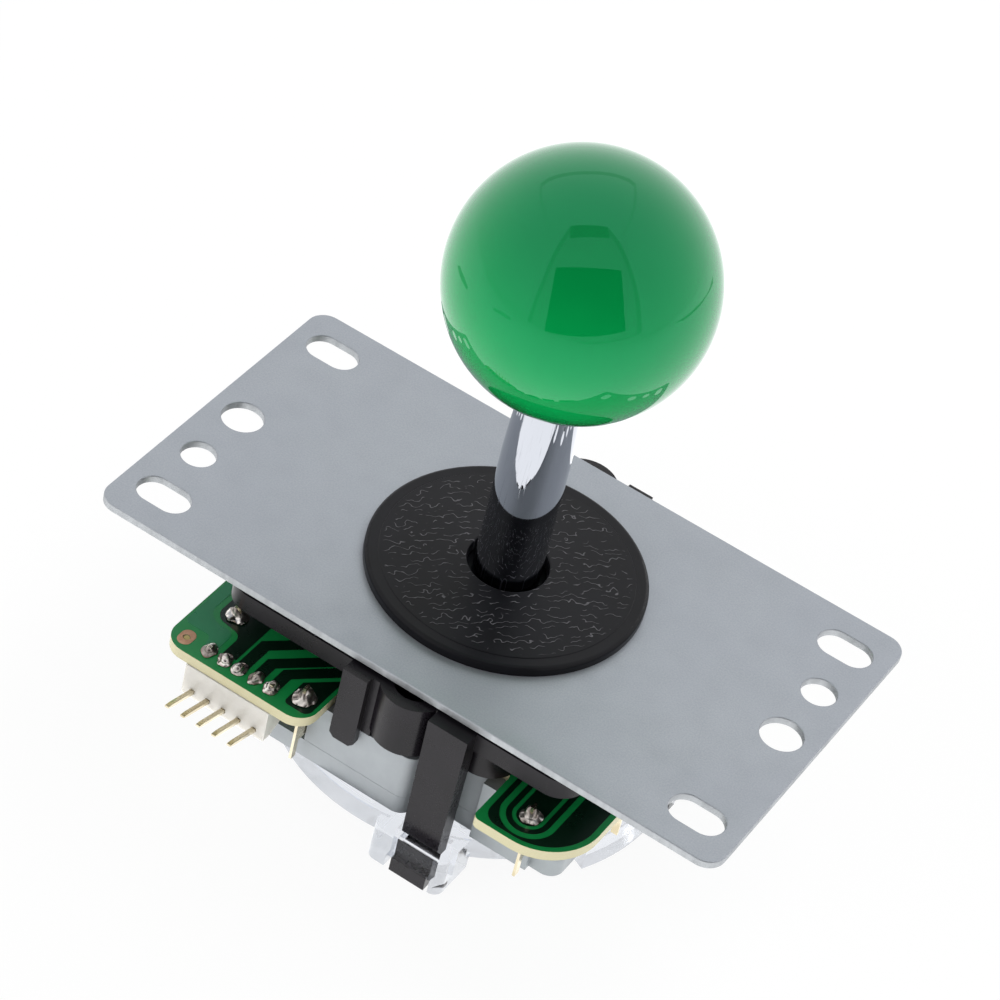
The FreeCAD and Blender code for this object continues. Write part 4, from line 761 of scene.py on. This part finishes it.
def make_solder_lump(name, place, size, lean, waist):
    """One solder joint: a skirt that rises to a lumpy shoulder round the leg."""
    deselect_all()
    bpy.ops.mesh.primitive_ico_sphere_add(subdivisions=5, radius=1.0)
    lump = name_piece(name)
    edit(lump)
    bpy.ops.mesh.select_all(action="SELECT")
    bpy.ops.mesh.bisect(plane_co=(0, 0, SKIRT_LEVEL), plane_no=(0, 0, 1), use_fill=True, clear_inner=True)
    for level, width in [(level, waist) for level in WAIST_LEVELS] + [(TIP_LEVEL, TIP_WAIST)]:
        choose(lump, "vertices", lambda vertex: vertex.co.z > level)
        bpy.ops.transform.resize(value=(width, width, 1.0), center_override=(0, 0, level),
                                 use_proportional_edit=True, proportional_edit_falloff="SMOOTH",
                                 proportional_size=WAIST_REACH)
    choose(lump, "vertices", lambda vertex: vertex.co.z > LEAN_LEVEL)
    bpy.ops.transform.translate(value=(lean[0], lean[1], 0), use_proportional_edit=True,
                                proportional_size=LEAN_REACH)
    close_edit(lump)
    lump.scale = [length * MM for length in size]
    lump.location = (place[0] * MM, place[1] * MM, BOARD_TOP)
    settle(lump)
    clouds = bpy.data.textures.new(name + "_folds", "CLOUDS")
    clouds.noise_scale = FOLD_SIZE
    clouds.noise_depth = 0
    folds = lump.modifiers.new("Folds", "DISPLACE")
    folds.texture = clouds
    folds.texture_coords = "LOCAL"
    folds.strength = FOLD_DEPTH
    folds.mid_level = 0.5
    apply_modifiers(lump)
    smooth(lump, angle=60)
    finish_piece(lump, FINISHES["solder_tin"], "base", "solder_tin", "solder_joints")


def make_solder_joints():
    """Joints of the five header pins and the eight switch legs, each leaning its own way."""
    for number in range(PIN_COUNT):
        lean = (LEAN_ACROSS * math.sin(PIN_LEAN_CHANGE[0] * number),
                LEAN_ALONG * math.cos(PIN_LEAN_CHANGE[1] * number))
        place = (PIN_FIRST_X + number * PIN_PITCH, PIN_ROW_Y)
        make_solder_lump(f"pin_solder_{number + 1}", place, PIN_JOINT, lean, PIN_WAIST)
    for turns, side in enumerate(SIDES):
        for kind, place, *spread in LEG_JOINTS:
            wide, long = spread if turns % 2 == 0 else reversed(spread)
            lean = (LEAN_ACROSS * math.cos(turns * LEG_LEAN_CHANGE[0] + wide),
                    LEAN_ALONG * math.sin(turns * LEG_LEAN_CHANGE[1] + long))
            make_solder_lump(f"leg_solder_{kind}_{side}", quarter_turn(place, turns),
                             (wide, long, LEG_JOINT_HEIGHT), lean, LEG_WAIST)


# Copper pattern under the board's mask, drawn on the plan in millimetres

COPPER_THICKNESS = 0.035 * MM
COPPER_MERGE_GAP = 0.0005 * MM
TRACK_WIDTH = 1.75
TRACK_PATHS = [[(-20.3, -29.8), (-20.3, -24.7), (-12.8, -17.2)],
               [(-17.75, -29.8), (-17.75, -26.8), (-9.2, -18.2)],
               [(-15.1, -29.8), (-15.1, -27.0), (-9.2, -21.0)]]
RING_PLACE = (-28.9, -30.6)
RING_OUTER = 1.05
RING_INNER = 0.52
RING_STRETCH = 0.42
RING_HOLE = (-28.84, -30.64)
RING_HOLE_RADIUS = 0.4
LEG_HOLE = (22.6, -26.1)
LOBE_ROOT = -12.0
LOBE_SIDES = (17.9, 30.45)
LOBE_CORNER = (22.8, -22.8)
LOBE_CORNER_RADIUS = 7.65
LOBE_HEEL = (20.2, -28.15)
LOBE_HEEL_RADIUS = 2.3
FIELD_GAP = 3.95
LOOP_OUTER = 3.1
LOOP_INNER = 2.3
ISLAND_RADIUS = 1.75


def arc(centre, radius, start, end, steps):
    """Points along an arc, angles in degrees."""
    points = []
    for step in range(steps + 1):
        angle = math.radians(start + (end - start) * step / steps)
        points.append((centre[0] + radius * math.cos(angle), centre[1] + radius * math.sin(angle)))
    return points


def flat_shape(name, outlines, finish, turns=0):
    """Thin raised shape on the board's top from closed outlines."""
    drawing = bpy.data.curves.new(name, "CURVE")
    drawing.dimensions = "2D"
    drawing.fill_mode = "BOTH"
    for outline in outlines:
        spline = drawing.splines.new("POLY")
        spline.points.add(len(outline) - 1)
        for point, place in zip(spline.points, outline):
            across, along = quarter_turn(place, turns)
            point.co = (across * MM, along * MM, 0, 1)
        spline.use_cyclic_u = True
    drawing.extrude = COPPER_THICKNESS / 2
    shape = bpy.data.objects.new(name, drawing)
    bpy.context.scene.collection.objects.link(shape)
    shape.location.z = BOARD_TOP + COPPER_THICKNESS / 2
    pick(shape)
    bpy.ops.object.convert(target="MESH")
    settle(shape)
    edit(shape)
    bpy.ops.mesh.select_all(action="SELECT")
    bpy.ops.mesh.remove_doubles(threshold=COPPER_MERGE_GAP)
    close_edit(shape)
    finish_piece(shape, finish, "base", "board_green")


def band_outline(points, width):
    """Outline of a track of even width along a path."""
    left, right = [], []
    for index, point in enumerate(points):
        here = Vector(point)
        before = Vector(points[max(index - 1, 0)])
        after = Vector(points[min(index + 1, len(points) - 1)])
        into = (here - before).normalized() if index else (after - here).normalized()
        out = (after - here).normalized() if index < len(points) - 1 else into
        across = Vector((-into.y, into.x))
        side = (across + Vector((-out.y, out.x))).normalized()
        side *= (width / 2) / max(0.5, side.dot(across))
        left.append(tuple(here + side))
        right.append(tuple(here - side))
    return left + right[::-1]


def make_header_copper():
    """Pour, tracks, contact pad and bare ring on the header's lobe."""
    pour = [(-30.9, -17.2), (-29.3, -17.2), (-29.35, -23.0)] + arc((-26.6, -22.9), 2.85, 190, 258, 8)
    pour += arc((-25.9, -26.9), 1.3, 75, 0, 6)
    pour += [(-24.6, -29.2), (-24.9, -30.2), (-26.3, -30.2), (-26.6, -28.9)]
    pour += arc((-27.3, -28.9), 0.65, 20, 90, 4) + [(-30.4, -28.25), (-30.9, -27.8)]
    flat_shape("copper_pour_left", [pour], MASK_OVER_POUR_PAINTED_REFLECTION)
    first = [(-28.5, -17.2), (-21.6, -17.2), (-21.6, -29.6), (-23.7, -29.6)]
    first += arc((-25.2, -26.7), 1.5, 0, 80, 6) + arc((-26.4, -22.9), 2.1, 255, 180, 8)
    flat_shape("copper_track_1", [first], MASK_OVER_COPPER_PAINTED_SHADE)
    for number, path in enumerate(TRACK_PATHS, 2):
        flat_shape(f"copper_track_{number}", [band_outline(path, TRACK_WIDTH)], MASK_OVER_COPPER_PAINTED_SHADE)
    pad = [(-12.7, -26.75), (-12.7, -30.6)] + arc((-12.0, -30.7), 0.7, 180, 270, 4)
    pad += arc((-9.9, -30.3), 1.1, 270, 360, 5) + [(-8.8, -22.85)]
    flat_shape("copper_pad_contact", [pad], MASK_OVER_COPPER_PAINTED_SHADE)
    outer = arc((RING_PLACE[0], RING_PLACE[1] + RING_STRETCH), RING_OUTER, 0, 180, 14)
    outer += arc((RING_PLACE[0], RING_PLACE[1] - RING_STRETCH), RING_OUTER, 180, 360, 14)
    inner = arc(RING_PLACE, RING_INNER, 0, 360, 24)[:-1]
    flat_shape("copper_ring_pad", [outer, inner], BARE_COPPER)
    flat_shape("ring_pad_hole_wall", [arc(RING_HOLE, RING_HOLE_RADIUS, 0, 360, 24)[:-1]], BARE_FIBRE)


def make_lobe_copper(turns, name):
    """Copper of one plain lobe: an outer field, a U-shaped track and the leg's own island."""
    across = LEG_HOLE[0]
    field = [(LOBE_SIDES[0], LOBE_ROOT), (across - FIELD_GAP, LOBE_ROOT)]
    field += arc(LEG_HOLE, FIELD_GAP, 180, 360, 20)
    field += [(across + FIELD_GAP, LOBE_ROOT), (LOBE_SIDES[1], LOBE_ROOT)]
    field += arc(LOBE_CORNER, LOBE_CORNER_RADIUS, 0, -90, 16)
    field += arc(LOBE_HEEL, LOBE_HEEL_RADIUS, 270, 180, 6)
    flat_shape("copper_field_" + name, [field], MASK_OVER_COPPER_PAINTED_SHADE, turns)
    track = [(across - LOOP_OUTER, LOBE_ROOT)] + arc(LEG_HOLE, LOOP_OUTER, 180, 360, 18)
    track += [(across + LOOP_OUTER, LOBE_ROOT), (across + LOOP_INNER, LOBE_ROOT)]
    track += arc(LEG_HOLE, LOOP_INNER, 360, 180, 16) + [(across - LOOP_INNER, LOBE_ROOT)]
    flat_shape("copper_loop_" + name, [track], MASK_OVER_COPPER_PAINTED_SHADE, turns)
    island = [(across - ISLAND_RADIUS, LOBE_ROOT)] + arc(LEG_HOLE, ISLAND_RADIUS, 180, 360, 14)
    island.append((across + ISLAND_RADIUS, LOBE_ROOT))
    flat_shape("copper_island_" + name, [island], MASK_OVER_COPPER_PAINTED_SHADE, turns)


# Stage, light and camera

CAMERA_PLACE = Vector((142.663, -347.366, 348.329)) * MM
CAMERA_TURN = (math.radians(47.2316), math.radians(-10.7824), math.radians(32.6251))
CAMERA_LENS = 138.527
SENSOR_WIDTH = 36.0
PICTURE_SIZE = 1000

# Each lamp's name, place, size and power
LAMPS = [("key_lamp", (0.25, 0.75, 0.95), 0.7, 6.0), ("front_lamp", (-0.5, -0.8, 0.45), 0.6, 2.6)]

# Strengths of the white that surrounds the lever: to the camera, to soft light and to gloss, which
# sees it brighter towards the far side. The floor's paper takes the rest of its white's share and
# keeps the shadow.
FAR_SIDE = (-0.38, 0.925, 0.0)
FLOOR_WIDTH = 6.0
FLOOR_PAPER = (0.92, 0.92, 0.92, 1)
FLOOR_WHITE = 1.03
FLOOR_WHITE_SHARE = 0.9
FLOOR_BOUNCE = 1.9
TENT_WHITE = 1.0
TENT_SOFT_LIGHT = 0.46
FRONT_GLOW = 1.2
BACK_GLOW = 1.6
NEAR_GLOW = 1.65
FLOOR_GLOW_FROM, FLOOR_GLOW_TO = -0.5, -0.06
TENT_GLOW_FROM, TENT_GLOW_TO = -0.3, 0.85


def make_camera():
    """Camera at the photograph's angle."""
    data = bpy.data.cameras.new("camera")
    data.lens = CAMERA_LENS
    data.sensor_width = SENSOR_WIDTH
    data.clip_start = 0.01
    camera = bpy.data.objects.new("camera", data)
    camera.location = CAMERA_PLACE
    camera.rotation_euler = CAMERA_TURN
    bpy.context.scene.collection.objects.link(camera)
    bpy.context.scene.camera = camera


def mirror_rays(tree, path):
    """One for rays that a gloss throws back, nought for rays that pass through clear plastic."""
    through = tree.math("SUBTRACT", 1.0, path["Is Transmission Ray"])
    return tree.math("MULTIPLY", path["Is Glossy Ray"], through)


def make_floor():
    """Pale floor under the feet that shows white, keeps a soft shadow and is open from below."""
    deselect_all()
    bpy.ops.mesh.primitive_plane_add(size=FLOOR_WIDTH, location=(0, 0, FEET_LEVEL - LEVEL_SLACK))
    floor = name_piece("studio_floor")
    material = new_material("pale_floor")
    tree = Tree(material.node_tree)
    path = tree.add("ShaderNodeLightPath").outputs
    where = tree.add("ShaderNodeTexCoord").outputs["Object"]
    away = tree.vector_math("DOT_PRODUCT", where, FAR_SIDE)["Value"]
    pool = tree.steps(away, FLOOR_GLOW_FROM, FLOOR_GLOW_TO, reach=(FRONT_GLOW, NEAR_GLOW))
    mirror = mirror_rays(tree, path)
    brighter = tree.math("MULTIPLY", mirror, tree.math("SUBTRACT", pool, FLOOR_WHITE))
    level = tree.math("ADD", FLOOR_WHITE, brighter)
    seen = tree.math("ADD", path["Is Camera Ray"], path["Is Transmission Ray"], clamp=True)
    share = tree.math("MULTIPLY", tree.math("ADD", seen, mirror, clamp=True), FLOOR_WHITE_SHARE)
    paper = tree.add("ShaderNodeBsdfDiffuse", {"Color": FLOOR_PAPER}).outputs[0]
    glow = tree.add("ShaderNodeEmission", {"Color": WHITE, "Strength": level}).outputs[0]
    mixed = tree.add("ShaderNodeMixShader", {0: share, 1: paper, 2: glow}).outputs[0]
    lift = tree.math("MULTIPLY", path["Is Diffuse Ray"], FLOOR_BOUNCE)
    bounce = tree.add("ShaderNodeEmission", {"Color": WHITE, "Strength": lift}).outputs[0]
    whole = tree.add("ShaderNodeAddShader", {0: mixed, 1: bounce}).outputs[0]
    from_below = tree.add("ShaderNodeNewGeometry").outputs["Backfacing"]
    open_side = tree.add("ShaderNodeBsdfTransparent", {"Color": WHITE}).outputs[0]
    one_sided = tree.add("ShaderNodeMixShader", {0: from_below, 1: whole, 2: open_side}).outputs[0]
    tree.add("ShaderNodeOutputMaterial", {"Surface": one_sided})
    floor.data.materials.append(material)


def make_world():
    """White tent: full white where it is seen, softer where it lights, brighter far off in gloss."""
    world = bpy.data.worlds.new("white_tent")
    bpy.context.scene.world = world
    world.use_nodes = True
    tree = Tree(world.node_tree)
    tree.nodes.clear()
    path = tree.add("ShaderNodeLightPath").outputs
    where = tree.add("ShaderNodeTexCoord").outputs["Generated"]
    away = tree.vector_math("DOT_PRODUCT", where, FAR_SIDE)["Value"]
    tent = tree.steps(away, TENT_GLOW_FROM, TENT_GLOW_TO, reach=(FRONT_GLOW, BACK_GLOW))
    mirrored = tree.math("MULTIPLY", tree.math("SUBTRACT", tent, TENT_WHITE), mirror_rays(tree, path))
    white = tree.math("ADD", mirrored, TENT_WHITE)
    seen_light = tree.add("ShaderNodeBackground", {"Color": WHITE, "Strength": white}).outputs[0]
    soft_light = tree.add("ShaderNodeBackground", {"Color": WHITE, "Strength": TENT_SOFT_LIGHT}).outputs[0]
    seen = tree.math("ADD", path["Is Camera Ray"], path["Is Glossy Ray"], clamp=True)
    seen = tree.math("ADD", seen, path["Is Transmission Ray"], clamp=True)
    mixed = tree.add("ShaderNodeMixShader", {0: seen, 1: soft_light, 2: seen_light}).outputs[0]
    tree.add("ShaderNodeOutputWorld", {"Surface": mixed})


def make_lamp(name, place, size, power):
    """Large soft lamp that faces the lever and that gloss doesn't see."""
    data = bpy.data.lights.new(name, "AREA")
    data.shape = "SQUARE"
    data.size = size
    data.energy = power
    lamp = bpy.data.objects.new(name, data)
    lamp.location = place
    lamp.rotation_euler = (-Vector(place)).to_track_quat("-Z", "Y").to_euler()
    lamp.visible_glossy = False
    bpy.context.scene.collection.objects.link(lamp)


# Studio panels that only the gloss sees, drawn as their reflections lie on the ball in the camera's
# picture. Each has its name, paleness, reach from the ball in millimetres, and rows of points that
# count across and down a picture of PICTURE_SIZE points a side.
PANELS = [
    ("panel_low", 0.0, 500, [
        [(544.5, 331), (625.5, 331)], [(548, 312), (624, 312)],
        [(552, 290), (622.7, 290)], [(556.2, 267.5), (621.2, 270.5)]]),
    ("panel_lintel", 0.32, 620, [[(570, 238.5), (610, 238.5)], [(570.5, 226), (607.5, 227)]]),
    ("panel_arch", 0.93, 760, [
        [(530, 328), (637, 334)], [(536.5, 305), (636.5, 315)], [(546, 281), (633.5, 291)],
        [(556, 257), (626.5, 267)], [(566, 239.5), (616.5, 245)], [(573, 229), (605, 230)]]),
    ("panel_arch_edge", 0.68, 820, [
        [(526, 327.5), (641.5, 333)], [(532.5, 305), (641, 315)], [(542.5, 280), (637.5, 290)],
        [(552.5, 255), (630, 265)], [(562.5, 237.5), (620, 242.5)], [(570.5, 226), (607.5, 227)]]),
    ("panel_rail_far", 1.05, 900, [
        [(540, 184), (548, 178), (560, 174), (575, 171.8), (590, 171.3), (605, 172), (618, 174.5),
         (630, 179), (636, 184)],
        [(541, 187.5), (549, 181.5), (561, 177.3), (575, 175), (590, 174.5), (605, 175.2), (617, 177.7),
         (629, 182.3), (635, 187.5)]]),
    ("panel_rail_left", 1.2, 900, [
        [(540, 184), (540, 200), (544, 218), (551, 234)],
        [(542.5, 184), (542.5, 200), (546.5, 218), (553.5, 234)]]),
    ("panel_rail_right", 1.2, 900, [
        [(636, 184), (636, 205), (631, 222), (622, 238)],
        [(633.5, 184), (633.5, 205), (628.5, 222), (619.5, 238)]]),
    ("streak_left", 0.6, 140, [
        [(457.5, 265), (461, 279), (467, 290)], [(460, 266), (464, 276), (468, 287)]]),
    ("streak_front", 0.75, 140, [
        [(493, 310), (501, 315), (510, 320.5)], [(494, 307.5), (503, 312), (511, 318)]]),
    ("streak_right", 0.6, 190, [
        [(712.5, 276), (709, 290), (697, 306), (686, 316), (674, 323.5)],
        [(713, 283), (706, 297), (694, 312), (684, 320), (676, 323)]]),
]


def along_to_sphere(start, direction, centre, radius, side):
    """How far along a ray it meets a sphere: side -1 gives the near meeting, side 1 the far one."""
    offset = start - centre
    along = offset.dot(direction)
    return side * math.sqrt(max(along ** 2 - offset.length_squared + radius ** 2, 0.0)) - along


def mirrored_place(across, down, reach):
    """The place, this far from the ball, whose reflection lies at a point of the camera's picture."""
    middle = PICTURE_SIZE / 2
    focal_length = CAMERA_LENS / SENSOR_WIDTH * PICTURE_SIZE
    look = Vector(((across - middle) / focal_length, (middle - down) / focal_length, -1))
    look.rotate(Euler(CAMERA_TURN))
    look.normalize()
    ball = Vector((0, 0, BALL_CENTRE_HEIGHT))
    skin = CAMERA_PLACE + look * along_to_sphere(CAMERA_PLACE, look, ball, BALL_RADIUS, -1)
    thrown = look.reflect((skin - ball).normalized())
    return skin + thrown * along_to_sphere(skin, thrown, ball, reach, 1)


def make_panel(name, paleness, reach, rows):
    """Studio panel that the ball mirrors along rows of points, seen by glossy rays alone."""
    deselect_all()
    bpy.ops.mesh.primitive_grid_add(x_subdivisions=len(rows[0]) - 1, y_subdivisions=len(rows) - 1)
    panel = name_piece(name)
    points = [point for row in rows for point in row]
    for vertex, (across, down) in zip(panel.data.vertices, points):
        vertex.co = mirrored_place(across, down, reach * MM)
    material = new_material(name)
    tree = Tree(material.node_tree)
    tone = tree.add("ShaderNodeEmission", {"Color": WHITE, "Strength": paleness}).outputs[0]
    tree.add("ShaderNodeOutputMaterial", {"Surface": tone})
    panel.data.materials.append(material)
    panel.visible_camera = False
    panel.visible_diffuse = False
    panel.visible_transmission = False
    panel.visible_shadow = False


def make_studio():
    """Camera, floor, world, lamps and panels."""
    bpy.context.scene.view_settings.view_transform = "Standard"
    make_camera()
    make_floor()
    make_world()
    for row in LAMPS:
        make_lamp(*row)
    for row in PANELS:
        make_panel(*row)


dress_cad_nodes()
make_ball()
make_shaft()
make_moulded_copies()
make_solder_joints()
make_header_copper()
for turns, name in enumerate(("front_right", "back_right", "back_left")):
    make_lobe_copper(turns, name)
make_studio()
